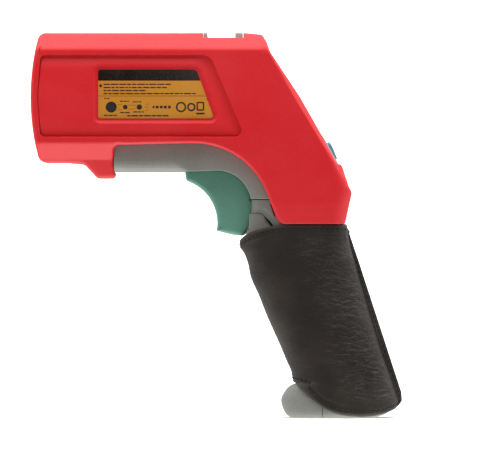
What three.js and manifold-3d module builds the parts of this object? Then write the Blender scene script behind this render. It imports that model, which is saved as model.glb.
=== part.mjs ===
// Infrared thermometer with a pistol grip, a trigger, a rear display and a leather grip sleeve.
// Millimetres, +Z up. The muzzle points to -X, the user stands at +X, and -Y is the left side.
// The origin is on the flat base of the grip.
import * as THREE from 'three';
import { mergeVertices } from 'three/addons/utils/BufferGeometryUtils.js';
import Module from 'manifold-3d';

const wasm = await Module();
wasm.setup();

// ---------------------------------------------------------------- driving dimensions

const GAP = 0.3;                 // clearance between pieces that touch
const CHORD_ANGLE = Math.PI / 9; // turn taken by each chord of a rounded corner
const ROUND_SIDES = 28;          // sides of a turned piece
const LEAST_RADIUS = 0.05;       // a rounding shrunk below this stays this small

// Red housing: side view on the mid plane, and how wide it is at each height.
const HOUSING = {
  halfWidth: 27.5,
  topZ: 191.5,
  frontArc: { x: -30, z: 159.5, radius: 121, halfAngle: 13.6 },
  wall: 2.4,
  sideWall: 3.4,
  creaseZ: 183.4,
  topHalfWidth: 19.4,
  lipX: -109,
};

// Rear slope of the housing: a plane that leans back from the top of the display to the kink.
const SLOPE = { x: -32, z: 180.75, angle: THREE.MathUtils.degToRad(59.27) };
const DISPLAY = { start: 5, end: 41, halfWidth: 20, out: 0.9 };
const KEYPAD = { start: 47.4, end: 64.8, halfWidth: 19, lip: 1.9, out: 2 };
const KEY = { start: 52.2, end: 61.7, width: 10, pitch: 12, out: 3.3, depth: 1.4 };

// Optical head, turned about an axis parallel to X.
const OPTICS = { z: 159.3, mouthRadius: 22.5, barrelRadius: 21.5, lensRadius: 19.8, laserRadius: 3.2 };

const FRAME = { halfWidth: 20, wall: 2.2, bottomZ: 122.3, topZ: 140 };
const TRIGGER = { x: -70, z: 128, halfWidth: 10.3, pullDegrees: 8.5, pinRadius: 1.5 };
const SEAM_Z = 108.75;           // joint line between the under-frame and the battery door
const GRIP = { wall: 2.4, topZ: 112, floor: 2.8 };
const LEATHER = { thickness: 1.4, clearance: 0.35, flangeHalf: 1.4 };
const CELL = { radius: 7.25, length: 50.5, pitch: 14.8, tilt: THREE.MathUtils.degToRad(-18) };
const SCREW = { headRadius: 2.7, shankRadius: 1.4, headY: 14, bossRadius: 4.2 };
const SCREW_PLACES = [[-88, 147], [-88, 175], [-38, 152], [-16, 121], [-114.5, 126.5]];
const TRIPOD_X = 11;

// ---------------------------------------------------------------- materials

function plastic(color, roughness = 0.5) {
  return new THREE.MeshStandardMaterial({ color, roughness, metalness: 0, flatShading: true });
}

function metal(color, roughness = 0.35) {
  return new THREE.MeshStandardMaterial({ color, roughness, metalness: 1, flatShading: true });
}

const FINISH = {
  red: () => plastic(0xc32a2f, 0.45),
  grey: () => plastic(0x8a8a82, 0.5),
  green: () => plastic(0x57836f, 0.5),
  black: () => plastic(0x1b1b1d, 0.55),
  leather: () => plastic(0x2e2a27, 0.7),
  label: () => plastic(0xcd912d, 0.5),
  shoe: () => plastic(0xa9b4ac, 0.5),
  blue: () => plastic(0x6491af, 0.45),
  board: () => plastic(0x1d5a36, 0.5),
  glass: () => plastic(0x3c4a4c, 0.05),
  rubber: () => plastic(0x3a3c3e, 0.8),
  steel: () => metal(0xb9bcc0),
  brass: () => metal(0xb5913f),
  cell: () => plastic(0x2d5f8f, 0.35),
  wireRed: () => plastic(0xb01818, 0.5),
  wireBlack: () => plastic(0x141414, 0.5),
};

// ---------------------------------------------------------------- outlines in the side view

// Points of an arc about (x, z), as corners with no rounding.
function arc(x, z, radius, fromDegrees, toDegrees, steps) {
  return Array.from({ length: steps + 1 }, (_, i) => {
    const angle = THREE.MathUtils.degToRad(THREE.MathUtils.lerp(fromDegrees, toDegrees, i / steps));
    return [x + radius * Math.cos(angle), z + radius * Math.sin(angle), 0];
  });
}

// Left-hand turn at corner i is positive; the sum of all of them tells which way the outline runs.
function turnAt(corners, i) {
  const count = corners.length;
  const [ax, az] = corners[(i + count - 1) % count];
  const [bx, bz] = corners[i];
  const [cx, cz] = corners[(i + 1) % count];
  return (bx - ax) * (cz - bz) - (bz - az) * (cx - bx);
}

function signedArea(corners) {
  return corners.reduce((sum, [x, z], i) => {
    const [nextX, nextZ] = corners[(i + 1) % corners.length];
    return sum + x * nextZ - nextX * z;
  }, 0) / 2;
}

// Moves every edge inwards by the distance (outwards if it is negative) and keeps the roundings
// concentric.
function inset(corners, distance) {
  const way = Math.sign(signedArea(corners));
  const count = corners.length;
  return corners.map(([x, z, radius = 0], i) => {
    const corner = new THREE.Vector2(x, z);
    const before = new THREE.Vector2(...corners[(i + count - 1) % count].slice(0, 2));
    const after = new THREE.Vector2(...corners[(i + 1) % count].slice(0, 2));
    const incoming = corner.clone().sub(before).normalize();
    const outgoing = after.sub(corner).normalize();
    const normalIn = new THREE.Vector2(-incoming.y, incoming.x).multiplyScalar(way);
    const normalOut = new THREE.Vector2(-outgoing.y, outgoing.x).multiplyScalar(way);
    const share = distance / (1 + normalIn.dot(normalOut));
    const convex = turnAt(corners, i) * way > 0;
    const rounded = convex ? Math.max(radius - distance, 0) : radius + distance;
    return [
      x + (normalIn.x + normalOut.x) * share,
      z + (normalIn.y + normalOut.y) * share,
      radius ? Math.max(rounded, LEAST_RADIUS) : 0,
    ];
  });
}

// Replaces each corner that has a radius by chords of its arc.
function rounded(corners) {
  const count = corners.length;
  return corners.flatMap(([x, z, radius = 0], i) => {
    const corner = new THREE.Vector2(x, z);
    if (radius < LEAST_RADIUS) return [corner];
    const toBefore = new THREE.Vector2(...corners[(i + count - 1) % count].slice(0, 2)).sub(corner);
    const toAfter = new THREE.Vector2(...corners[(i + 1) % count].slice(0, 2)).sub(corner);
    toBefore.normalize();
    toAfter.normalize();
    const half = Math.acos(THREE.MathUtils.clamp(toBefore.dot(toAfter), -1, 1)) / 2;
    const centre = toBefore.clone().add(toAfter).normalize().multiplyScalar(radius / Math.sin(half));
    centre.add(corner);
    const start = toBefore.multiplyScalar(radius / Math.tan(half)).add(corner).sub(centre);
    const sweep = (Math.PI - 2 * half) * Math.sign(turnAt(corners, i));
    const steps = Math.max(1, Math.ceil(Math.abs(sweep) / CHORD_ANGLE));
    return Array.from({ length: steps + 1 }, (_, k) =>
      start.clone().rotateAround(new THREE.Vector2(), (sweep * k) / steps).add(centre));
  });
}

// ---------------------------------------------------------------- solids

// A closed geometry as a solid that can be joined and cut.
function solid(geometry) {
  const bare = geometry.clone();
  bare.deleteAttribute('normal');
  bare.deleteAttribute('uv');
  const merged = mergeVertices(bare, 1e-4);
  const index = Array.from(merged.index.array);
  const corners = [];
  for (let i = 0; i < index.length; i += 3) {
    const [a, b, c] = index.slice(i, i + 3);
    if (a !== b && b !== c && c !== a) corners.push(a, b, c);
  }
  return new wasm.Manifold(new wasm.Mesh({
    numProp: 3,
    vertProperties: new Float32Array(merged.attributes.position.array),
    triVerts: new Uint32Array(corners),
  }));
}

function geometryOf(manifold) {
  const mesh = manifold.getMesh();
  const geometry = new THREE.BufferGeometry();
  geometry.setAttribute('position', new THREE.BufferAttribute(new Float32Array(mesh.vertProperties), 3));
  geometry.setIndex(new THREE.BufferAttribute(new Uint32Array(mesh.triVerts), 1));
  return geometry;
}

const join = (...parts) => parts.reduce((whole, part) => whole.add(part));
const cut = (whole, ...tools) => tools.reduce((rest, tool) => rest.subtract(tool), whole);

// Side-view points spread across the width from y0 to y1.
function slab(points, y0, y1) {
  const shape = new THREE.Shape(points);
  const geometry = new THREE.ExtrudeGeometry(shape, { depth: y1 - y0, bevelEnabled: false });
  return solid(geometry.rotateX(Math.PI / 2).translate(0, y1, 0));
}

// Front-view points (y, z) carried from x0 to x1.
function bar(points, x0, x1) {
  const geometry = new THREE.ExtrudeGeometry(new THREE.Shape(points), {
    depth: x1 - x0,
    bevelEnabled: false,
  });
  const turn = new THREE.Matrix4().makeBasis(
    new THREE.Vector3(0, 1, 0), new THREE.Vector3(0, 0, 1), new THREE.Vector3(1, 0, 0));
  return solid(geometry.applyMatrix4(turn).translate(x0, 0, 0));
}

function block(x0, x1, y0, y1, z0, z1) {
  const geometry = new THREE.BoxGeometry(x1 - x0, y1 - y0, z1 - z0);
  return solid(geometry.translate((x0 + x1) / 2, (y0 + y1) / 2, (z0 + z1) / 2));
}

// A turned piece: [radius, distance along the axis] points about an axis through the given place.
function turned(profile, place, axis, sides = ROUND_SIDES) {
  const closesOnAxis = profile[0][0] === 0;
  const points = profile.map(([radius, along]) => new THREE.Vector2(radius, along));
  if (!closesOnAxis) points.push(points[0].clone());
  const geometry = new THREE.LatheGeometry(points, sides);
  const turn = new THREE.Quaternion().setFromUnitVectors(new THREE.Vector3(0, 1, 0), axis);
  return solid(geometry.applyQuaternion(turn).translate(place.x, place.y, place.z));
}

function rod(radius, from, to, place, axis, sides = ROUND_SIDES) {
  return turned([[0, from], [radius, from], [radius, to], [0, to]], place, axis, sides);
}

// Rings of equal count, listed upwards and each anticlockwise seen from above, skinned and capped.
function loft(rings) {
  const count = rings[0].length;
  const positions = rings.flat().flatMap((p) => [p.x, p.y, p.z]);
  const faces = [];
  for (let level = 0; level + 1 < rings.length; level += 1) {
    for (let i = 0; i < count; i += 1) {
      const a = level * count + i;
      const b = level * count + ((i + 1) % count);
      faces.push(a, b, b + count, a, b + count, a + count);
    }
  }
  const flat = (ring) => ring.map((p) => new THREE.Vector2(p.x, p.y));
  THREE.ShapeUtils.triangulateShape(flat(rings[0]), []).forEach(([a, b, c]) => faces.push(a, c, b));
  const top = (rings.length - 1) * count;
  THREE.ShapeUtils.triangulateShape(flat(rings.at(-1)), [])
    .forEach(([a, b, c]) => faces.push(top + a, top + b, top + c));
  const geometry = new THREE.BufferGeometry();
  geometry.setAttribute('position', new THREE.Float32BufferAttribute(positions, 3));
  geometry.setIndex(faces);
  return solid(geometry);
}

// A slab of a cornered outline whose two outer edges are rounded off.
function softSlab(corners, halfWidth, edge, segments = 3) {
  const anticlockwise = signedArea(corners) > 0 ? corners : [...corners].reverse();
  const levels = Array.from({ length: segments + 1 }, (_, i) => {
    const angle = (Math.PI / 2) * (i / segments);
    return [edge * (1 - Math.sin(angle)), halfWidth - edge * (1 - Math.cos(angle))];
  });
  const lower = levels.map(([shrink, height]) => [shrink, -height]);
  const rings = [...lower, ...levels.reverse()].map(([shrink, height]) =>
    rounded(inset(anticlockwise, shrink)).map((p) => at(p.x, p.y, height)));
  return solid(geometryOf(loft(rings)).rotateX(Math.PI / 2));
}

// A round wire along a curve.
function wire(curve, radius, steps, sides = 6) {
  const section = new THREE.Shape(Array.from({ length: sides }, (_, i) => {
    const angle = (2 * Math.PI * i) / sides;
    return new THREE.Vector2(radius * Math.cos(angle), radius * Math.sin(angle));
  }));
  return new THREE.ExtrudeGeometry(section, { steps, extrudePath: curve, bevelEnabled: false });
}

// An upright coil, centred on the origin.
class Helix extends THREE.Curve {
  constructor(radius, pitch, turns) {
    super();
    Object.assign(this, { radius, pitch, turns });
  }

  getPoint(t, target = new THREE.Vector3()) {
    const angle = 2 * Math.PI * this.turns * t;
    const along = this.pitch * this.turns * (t - 0.5);
    return target.set(this.radius * Math.cos(angle), this.radius * Math.sin(angle), along);
  }
}

const ALONG_X = new THREE.Vector3(1, 0, 0);
const ALONG_Y = new THREE.Vector3(0, 1, 0);
const ALONG_Z = new THREE.Vector3(0, 0, 1);
const at = (x, y, z) => new THREE.Vector3(x, y, z);

const thermometer = new THREE.Group();

function addNode(name, shape, material, parent = thermometer) {
  const geometry = shape.isBufferGeometry ? shape : geometryOf(shape);
  const mesh = new THREE.Mesh(geometry, material);
  mesh.name = name;
  parent.add(mesh);
  return mesh;
}

// ---------------------------------------------------------------- groups with their own axes

// x runs down the slope, y across it, z straight out of it.
const rearFace = new THREE.Group();
rearFace.position.set(SLOPE.x, 0, SLOPE.z);
rearFace.rotation.y = SLOPE.angle;

// z runs up the grip, y across it; the origin is under the two cells.
const cellBay = new THREE.Group();
cellBay.position.set(6, 0, 14.5);
cellBay.rotation.y = CELL.tilt;

// The origin is on the trigger's pin.
const triggerPivot = new THREE.Group();
triggerPivot.position.set(TRIGGER.x, 0, TRIGGER.z);

thermometer.add(rearFace, cellBay, triggerPivot);
thermometer.updateMatrixWorld(true);

// The same solid, moved from a group's axes to the thermometer's.
const placed = (part, group) => solid(geometryOf(part).applyMatrix4(group.matrixWorld));

// ---------------------------------------------------------------- red housing

// A point of the side view given by its distance down the slope and out of it.
function onSlope(along, out) {
  const [sin, cos] = [Math.sin(SLOPE.angle), Math.cos(SLOPE.angle)];
  return [SLOPE.x + along * cos + out * sin, SLOPE.z - along * sin + out * cos];
}

// Listed clockwise from the foot of the muzzle: nose, top, slope, rear foot, arch and lip.
const HOUSING_CORNERS = [
  [-147, 127, 2.5],
  ...arc(HOUSING.frontArc.x, HOUSING.frontArc.z, HOUSING.frontArc.radius,
    180 + HOUSING.frontArc.halfAngle, 180 - HOUSING.frontArc.halfAngle, 6),
  [-147, 191.5, 2.5],
  [-44.9, 191.5, 0],
  [-36, 190.7, 2],
  [-33.8, 187, 3],
  [...onSlope(-1, 0.6), 0],
  [...onSlope(25.5, 1.95), 0],
  [...onSlope(49, 1.5), 0],
  [...onSlope(65, 1), 0],
  [...onSlope(76.5, 0.1), 0],
  [8.75, 112.2, 3],
  [5.4, 96.5, 1],
  [-27.8, 96.5, 5],
  [-43.3, 137.1, 39],
  [-109.9, 135.8, 3],
  [-109, 119.2, 2],
  [-118, 119.2, 2],
  [-124.5, 126.2, 5],
  [-134, 127, 0],
];

const FRONT_VIEW_OF_BARREL = [
  [-15, 118.5], [15, 118.5], [20, 128.5], [27.5, 136.5], [27.5, 183.4], [19.4, 191.6],
  [-19.4, 191.6], [-27.5, 183.4], [-27.5, 136.5], [-20, 128.5],
];

const FRONT_VIEW_OF_REAR = [
  [-21.5, 95], [21.5, 95], [24.2, 112], [27.5, 141], [27.5, 183.4], [19.4, 191.6],
  [-19.4, 191.6], [-27.5, 183.4], [-27.5, 141], [-24.2, 112],
];

// Across the slope: flat in the middle, with its two long edges bevelled.
const SLOPE_CROSS_VIEW = [
  [-28, -200], [28, -200], [28, -0.4], [22.5, 2.5], [-22.5, 2.5], [-28, -0.4],
];

// The housing's outer form, or its cavity when the walls are given.
function housingForm(wall, sideWall) {
  const side = slab(rounded(inset(HOUSING_CORNERS, wall)), -30, 30);
  const barrel = bar(rounded(inset(FRONT_VIEW_OF_BARREL, sideWall)), -160, HOUSING.lipX);
  const rear = bar(rounded(inset(FRONT_VIEW_OF_REAR, sideWall)), HOUSING.lipX, 20);
  const crown = placed(bar(rounded(SLOPE_CROSS_VIEW), -160, 200), rearFace);
  return side.intersect(join(barrel, rear)).intersect(crown);
}

// Low block under the keypad that runs out at the kink of the slope.
function thumbRest() {
  const profile = [[65.8, -1], [80, -1], [76.5, 0.1], [67.5, 2.3], [65.8, 1.9]];
  return placed(slab(rounded(profile.map(([x, z]) => [x, z, 0])), -20, 20), rearFace);
}

const SIDE_PANEL_CORNERS = [
  [-147.6, 141, 3], [-148.6, 160, 30], [-147.2, 180.9, 3], [-60.9, 180.9, 2.5],
  [-46.2, 140.9, 2.5],
];

const LABEL_CORNERS = [[-118, 149.2, 1.3], [-118, 173.75, 1.3], [-68.7, 173.75, 1.3], [-60.4, 149.2, 1.3]];

// Outer plate on each side; it holds the label in a shallow recess.
function sidePanel(side) {
  const outer = HOUSING.halfWidth;
  const plate = slab(rounded(inset(SIDE_PANEL_CORNERS, 0.2)), outer - 1.5, outer);
  const recess = slab(rounded(inset(LABEL_CORNERS, -2.2)), outer - 0.7, outer + 1);
  const kept = slab([at2(-147.7, 130), at2(-147.7, 190), at2(-30, 190), at2(-30, 130)], 20, 30);
  const panel = cut(plate, recess).intersect(kept);
  return side < 0 ? mirrored(panel) : panel;
}

function at2(x, z) {
  return new THREE.Vector2(x, z);
}

// The same solid on the other side of the mid plane.
function mirrored(part) {
  const geometry = geometryOf(part).scale(1, -1, 1);
  const index = geometry.index.array;
  for (let i = 0; i < index.length; i += 3) [index[i], index[i + 1]] = [index[i + 1], index[i]];
  return solid(geometry);
}

function halfOf(whole, side, gap) {
  const keep = side < 0 ? block(-200, 100, -60, -gap, -10, 250) : block(-200, 100, gap, 60, -10, 250);
  return whole.intersect(keep);
}

// Posts inside the housing that the case screws pull together.
function screwPosts() {
  return join(...SCREW_PLACES.map(([x, z]) => rod(SCREW.bossRadius, -40, 40, at(x, 0, z), ALONG_Y, 20)));
}

function screwHoles() {
  return SCREW_PLACES.flatMap(([x, z]) => [
    rod(SCREW.shankRadius + 0.25, -11, 40, at(x, 0, z), ALONG_Y, 16),
    rod(SCREW.headRadius + GAP, SCREW.headY - 2.3, 40, at(x, 0, z), ALONG_Y, 16),
  ]);
}

function caseScrew([x, z]) {
  const shank = rod(SCREW.shankRadius, -10, SCREW.headY - 1, at(x, 0, z), ALONG_Y, 16);
  const head = rod(SCREW.headRadius, SCREW.headY - 2, SCREW.headY, at(x, 0, z), ALONG_Y, 16);
  const socket = rod(1.2, SCREW.headY - 1.1, SCREW.headY + 1, at(x, 0, z), ALONG_Y, 6);
  return cut(join(shank, head), socket);
}

// ---------------------------------------------------------------- under-frame and trigger

const FRAME_CORNERS = [
  [-108.6, 122.3, 1], [-108.6, 140, 0], [-45, 140, 4], [-24, 118, 3], [-24, 109, 0],
  [-41.6, 109, 0],
  ...arc(-58.4, 106.3, 16.9, 14, 98, 8),
  [-74.6, 122.6, 0], [-77.3, 122.3, 0],
];

// Listed clockwise from the top of the finger pad; the last corners are hidden in the frame.
const TRIGGER_CORNERS = [
  [-74.4, 121.9, 0], [-73.85, 119, 0], [-71.8, 117.3, 0],
  ...arc(-76.5, 98.7, 19.1, 72, -10, 9).slice(1),
  [-56.1, 92.85, 0], [-50.35, 91.7, 0], [-45.5, 91, 1], [-42.9, 94.3, 0], [-41.75, 99.5, 0],
  [-41.0, 106, 6], [-43.5, 119, 14], [-62, 129.5, 8], [-66, 133, 5], [-74.3, 133, 4], [-74.6, 124, 0],
].map(([x, z, radius]) => [x - TRIGGER.x, z - TRIGGER.z, radius]);

function trigger() {
  const body = softSlab(TRIGGER_CORNERS, TRIGGER.halfWidth, 2.2);
  const pinHole = rod(TRIGGER.pinRadius + 0.08, -30, 30, at(0, 0, 0), ALONG_Y, 24);
  const springBay = slab(rounded([[-4.6, -4.4, 2], [-4.6, 20, 0], [20, 20, 0], [12, -4.4, 2]]), -4.4, 4.4);
  return cut(body, pinHole, springBay);
}

// Space that the trigger sweeps, from rest to fully pulled, with clearance on every side.
function triggerRoom() {
  const outline = rounded(inset(TRIGGER_CORNERS, -0.5).map(([x, z]) => [x, z, 0]));
  const half = TRIGGER.halfWidth + 0.6;
  const poses = [0, 0.25, 0.5, 0.75, 1, 1.06].map((share) => {
    const turn = -THREE.MathUtils.degToRad(TRIGGER.pullDegrees * share);
    const geometry = geometryOf(slab(outline, -half, half)).rotateY(turn);
    return placed(solid(geometry), triggerPivot);
  });
  return join(...poses);
}

// Torsion spring round the pin: one leg lies along the trigger, the other stands up to the frame.
class TorsionWire extends THREE.Curve {
  constructor(radius, pitch, sweep, legs) {
    super();
    Object.assign(this, { radius, pitch, sweep, legs });
    this.total = legs[0] + radius * sweep + legs[1];
  }

  getPoint(t, target = new THREE.Vector3()) {
    const distance = t * this.total - this.legs[0];
    const coiled = THREE.MathUtils.clamp(distance, 0, this.radius * this.sweep);
    const spare = distance - coiled;
    const angle = coiled / this.radius;
    const along = this.pitch * (angle - this.sweep / 2) / (2 * Math.PI);
    const x = -this.radius * Math.sin(angle) - spare * Math.cos(angle);
    const z = -this.radius * Math.cos(angle) + spare * Math.sin(angle);
    return target.set(x, along, z);
  }
}

function torsionSpring() {
  return wire(new TorsionWire(3, 1.2, 6.5 * Math.PI, [9, 9]), 0.45, 44, 5);
}

function underFrame() {
  const half = FRAME.halfWidth;
  const acrossNose = rounded([[-half, FRAME.bottomZ, 4], [half, FRAME.bottomZ, 4], [half, 150, 0], [-half, 150, 0]]);
  const softened = join(bar(acrossNose, -120, -76), block(-76, 0, -half, half, 90, 150));
  const outer = slab(rounded(FRAME_CORNERS), -half, half).intersect(softened);
  const innerHalf = FRAME.halfWidth - FRAME.wall;
  const cavity = slab(rounded(inset(FRAME_CORNERS, FRAME.wall).map(([x, z]) => [x, z, 0])),
    -innerHalf, innerHalf);
  const openTop = block(-104, -46, -innerHalf, innerHalf, 130, 150);
  const pinPosts = [1, -1].map((side) => {
    const post = rod(3.6, 11.6, innerHalf + 0.5, at(TRIGGER.x, 0, TRIGGER.z), ALONG_Y, 20);
    return side < 0 ? mirrored(post) : post;
  });
  const pinHole = rod(TRIGGER.pinRadius + 0.08, -19, 19, at(TRIGGER.x, 0, TRIGGER.z), ALONG_Y, 24);
  return cut(join(cut(outer, cavity, openTop), ...pinPosts), pinHole);
}

// ---------------------------------------------------------------- grip, door and sleeve

// [height, front, rear, half width, squareness] of the grip's horizontal sections, upwards.
const GRIP_LEVELS = [
  [0, -22, 21, 14.5, 2.8], [1.2, -23.7, 25, 15.8, 2.8], [4, -25.4, 28.5, 16.9, 2.8],
  [8.5, -26.5, 29.9, 17.4, 2.8], [13.5, -24.2, 28.5, 17.6, 2.8], [16, -21.6, 27.7, 17.6, 2.8],
  [17.4, -18.4, 27.3, 17.7, 2.8], [31, -23.1, 23.2, 17.8, 2.8], [51, -32.3, 17.2, 18, 2.8],
  [71, -40.4, 11.3, 18, 2.8], [86, -45.5, 6.8, 17.6, 3.6], [90.4, -44.9, 5.5, 17.3, 4.2],
  [92.5, -43, 4.9, 17.2, 4.6], [112, -40.8, -1, 17, 5],
];

// One section: a superellipse, so it is rounder at low squareness and boxier at high.
function gripRing([height, front, rear, halfWidth, squareness], grow, count = 20) {
  const [middle, half] = [(front + rear) / 2, (rear - front) / 2 + grow];
  const bulge = (value) => Math.sign(value) * Math.abs(value) ** (2 / squareness);
  return Array.from({ length: count }, (_, i) => {
    const angle = (2 * Math.PI * (i + 0.5)) / count;
    return at(middle + half * bulge(Math.cos(angle)), (halfWidth + grow) * bulge(Math.sin(angle)), height);
  });
}

function gripForm(grow, extraTop = 0) {
  const levels = [...GRIP_LEVELS];
  if (extraTop) {
    const [height, ...rest] = levels.at(-1);
    levels.push([height + extraTop, ...rest]);
  }
  return loft(levels.map((level) => gripRing(level, grow)));
}

const POCKET_FLOOR = block(-100, 100, -60, 60, GRIP.floor, 200);
const SPLIT_LINE = [at2(-6, -5), at2(-6, 6), at2(-21.5, 95), at2(-21.5, 120)];

function gripShell() {
  return cut(gripForm(0), gripForm(-GRIP.wall, 5).intersect(POCKET_FLOOR));
}

// Everything in front of the split line (side -1) or behind it (side 1), up to the given height.
function gripSide(side, topZ) {
  const line = SPLIT_LINE.map((p) => at2(p.x + (side * GAP) / 2, Math.min(p.y, topZ)));
  const far = side * 70;
  return slab([...line, at2(far, topZ), at2(far, -5)], -40, 40);
}

const PAD_CORNERS = [[-38.9, 95, 1], [-38.9, 105.2, 1.5], [-32.6, 105.2, 4.5], [-29.6, 97, 2], [-30, 95, 1]];

function releasePad(side) {
  const pad = slab(rounded(inset(PAD_CORNERS, 0.35)), 13, 15.6);
  return side < 0 ? mirrored(pad) : pad;
}

// Region of the sleeve in the side view: from the top hem to the bottom hem.
const SLEEVE_REGION = [
  [-60, 87.2, 0], [-46.6, 87.6, 4], [-43.5, 92.4, 6], [-33, 94.2, 6], [-26, 95.9, 5], [12, 96.1, 0],
  [45, 6, 0], [31, 4.9, 6], [21.5, 1.2, 12], [12.5, 0.6, 10], [1, 1.7, 12], [-7, 5.6, 12],
  [-16.6, 14.2, 4], [-18.5, 17.4, 1], [-60, 17.6, 0],
];

// Two leather layers sewn together down the back; the flange widens towards the base.
const FLANGE_REGION = [
  [4, 95.9], [6.2, 95.9], [12.4, 77.5], [18.4, 58.5], [25.4, 37], [33.4, 12.5], [33.5, 8.8], [31.2, 6.1],
  [25, 9], [14, 45],
];

function sleeve() {
  const outer = gripForm(LEATHER.clearance + LEATHER.thickness);
  const inner = gripForm(LEATHER.clearance, 3);
  const flange = slab(rounded(FLANGE_REGION.map(([x, z]) => [x, z, 0])), -LEATHER.flangeHalf, LEATHER.flangeHalf);
  const region = slab(rounded(SLEEVE_REGION), -40, 40);
  return cut(join(outer, flange).intersect(region), inner);
}

// ---------------------------------------------------------------- assembling the nodes

function addHousing() {
  const saddle = block(-65.4, -45.3, -30, 30, 187.6, 200);
  const mouth = rod(OPTICS.mouthRadius + GAP, -160, -140, at(0, 0, OPTICS.z), ALONG_X);
  const keypadSeat = block(KEYPAD.start - GAP, KEYPAD.end + GAP, -KEYPAD.halfWidth - GAP,
    KEYPAD.halfWidth + GAP, 0.2, 5);
  const displayHole = block(DISPLAY.start, DISPLAY.end, -DISPLAY.halfWidth, DISPLAY.halfWidth, -9, 5);
  const keyHole = block(KEYPAD.start + KEYPAD.lip, KEYPAD.end - KEYPAD.lip,
    -KEYPAD.halfWidth + KEYPAD.lip, KEYPAD.halfWidth - KEYPAD.lip, -9, 5);
  const frameRoom = slab(rounded(inset(FRAME_CORNERS, -GAP).map(([x, z]) => [x, z, 0])),
    -FRAME.halfWidth - GAP, FRAME.halfWidth + GAP);
  const archRoom = slab([at2(-60, 92), at2(-60, 125), at2(-24, 112), at2(-24, 92)], -17.4, 17.4);
  const panelPocket = slab(rounded(SIDE_PANEL_CORNERS), HOUSING.halfWidth - 1.8, 40);
  const shell = cut(join(housingForm(0, 0), thumbRest()), housingForm(HOUSING.wall, HOUSING.sideWall));
  const posts = screwPosts().intersect(housingForm(0.4, 0.4));
  const whole = cut(join(shell, posts), saddle, mouth, placed(displayHole, rearFace),
    placed(keyHole, rearFace), placed(keypadSeat, rearFace), frameRoom, gripForm(0.4, 1), archRoom, panelPocket, mirrored(panelPocket),
    ...screwHoles());
  for (const [name, side] of [['left', -1], ['right', 1]]) {
    addNode(`housing_${name}`, halfOf(whole, side, 0.1), FINISH.red());
    addNode(`side_panel_${name}`, sidePanel(side), FINISH.red());
    const label = slab(rounded(LABEL_CORNERS), HOUSING.halfWidth - 0.6, HOUSING.halfWidth - 0.2);
    addNode(side < 0 ? 'rating_label' : 'blank_label', side < 0 ? mirrored(label) : label, FINISH.label());
  }
  SCREW_PLACES.forEach((place, i) => addNode(`housing_screw_${i + 1}`, caseScrew(place), FINISH.steel()));
}

function addAccessoryShoe() {
  const floor = block(-65.1, -45.6, -19, 19, 187.9, 189.3);
  const stops = [block(-65.1, -63.2, -17.5, 17.5, 188, 191.6), block(-49.4, -45.6, -17.5, 17.5, 188, 191.6)];
  addNode('accessory_shoe', join(floor, ...stops), FINISH.shoe());
}

function addOptics() {
  const centre = at(0, 0, OPTICS.z);
  const ringed = (profile, sides) => turned(profile, centre, ALONG_X, sides);
  addNode('front_bezel', ringed([[22.5, -149.2], [22.5, -145.9], [23.6, -145.9], [23.6, -144.2],
    [22.5, -144.2], [22.5, -138.2], [20.3, -138.2], [20.3, -140.6], [21.7, -149.2]]), FINISH.black());
  addNode('lens_retaining_ring', ringed([[20, -137.9], [22.3, -137.9], [22.3, -135.9], [20, -135.9]]),
    FINISH.steel());
  addNode('objective_lens', ringed([[3.6, -135.9], [11, -135.5], [19.8, -134.2], [19.8, -132.6],
    [3.6, -132.6]]), FINISH.glass());
  addNode('optical_barrel', ringed([[20.1, -135.6], [21.5, -135.6], [21.5, -114.2], [19.6, -114.2],
    [19.6, -132.3], [20.1, -132.3]]), FINISH.black());
  addNode('detector_mount', ringed([[19, -113.9], [21.5, -113.9], [8, -97.5], [4.9, -97.5],
    [4.9, -100], [6.5, -100]]), FINISH.black());
  addNode('thermopile_detector', ringed([[0, -100.5], [4.2, -100.5], [4.2, -98.6], [4.6, -98.6],
    [4.6, -97.7], [0, -97.7]], 24), FINISH.steel());
  addNode('laser_module', ringed([[0, -139.5], [2.6, -139.5], [2.6, -140.6], [3.2, -140.6],
    [3.2, -122], [0, -122]], 20), FINISH.brass());
  addNode('laser_window', rod(2.3, -140.5, -139.8, centre, ALONG_X, 20), FINISH.glass());
  const hub = ringed([[3.4, -130.2], [6, -130.2], [6, -127.6], [3.4, -127.6]]);
  const arms = [90, 210, 330].map((degrees) => {
    const arm = geometryOf(block(-129.9, -127.9, -0.9, 0.9, 5, 19.3));
    return solid(arm.rotateX(THREE.MathUtils.degToRad(degrees)).translate(0, 0, OPTICS.z));
  });
  addNode('laser_bracket', join(hub, ...arms), FINISH.black());
}

function addElectronics() {
  const mainBoard = join(block(-82, -46, 5, 6.6, 142, 176), block(-76, -64, 6.5, 8.6, 154, 166),
    block(-60, -54, 6.5, 8.2, 148, 156), block(-72, -52, 6.5, 11, 169, 174));
  addNode('main_board', mainBoard, FINISH.board());
  addNode('sounder', rod(5.5, 6.9, 10, at(-54, 0, 163), ALONG_Y, 24), FINISH.black());
  const displayBoard = join(block(3, 64, -16.5, 16.5, -8.4, -6.8), block(44, 48, -12, 12, -7, -5.4));
  addNode('display_board', displayBoard, FINISH.board(), rearFace);
  addNode('lcd_glass', block(8, 38, -17.5, 17.5, -6.4, -3.4), FINISH.glass(), rearFace);
  addNode('keypad_mat', block(50, 64, -17, 17, -6.4, -3), FINISH.rubber(), rearFace);
}

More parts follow.
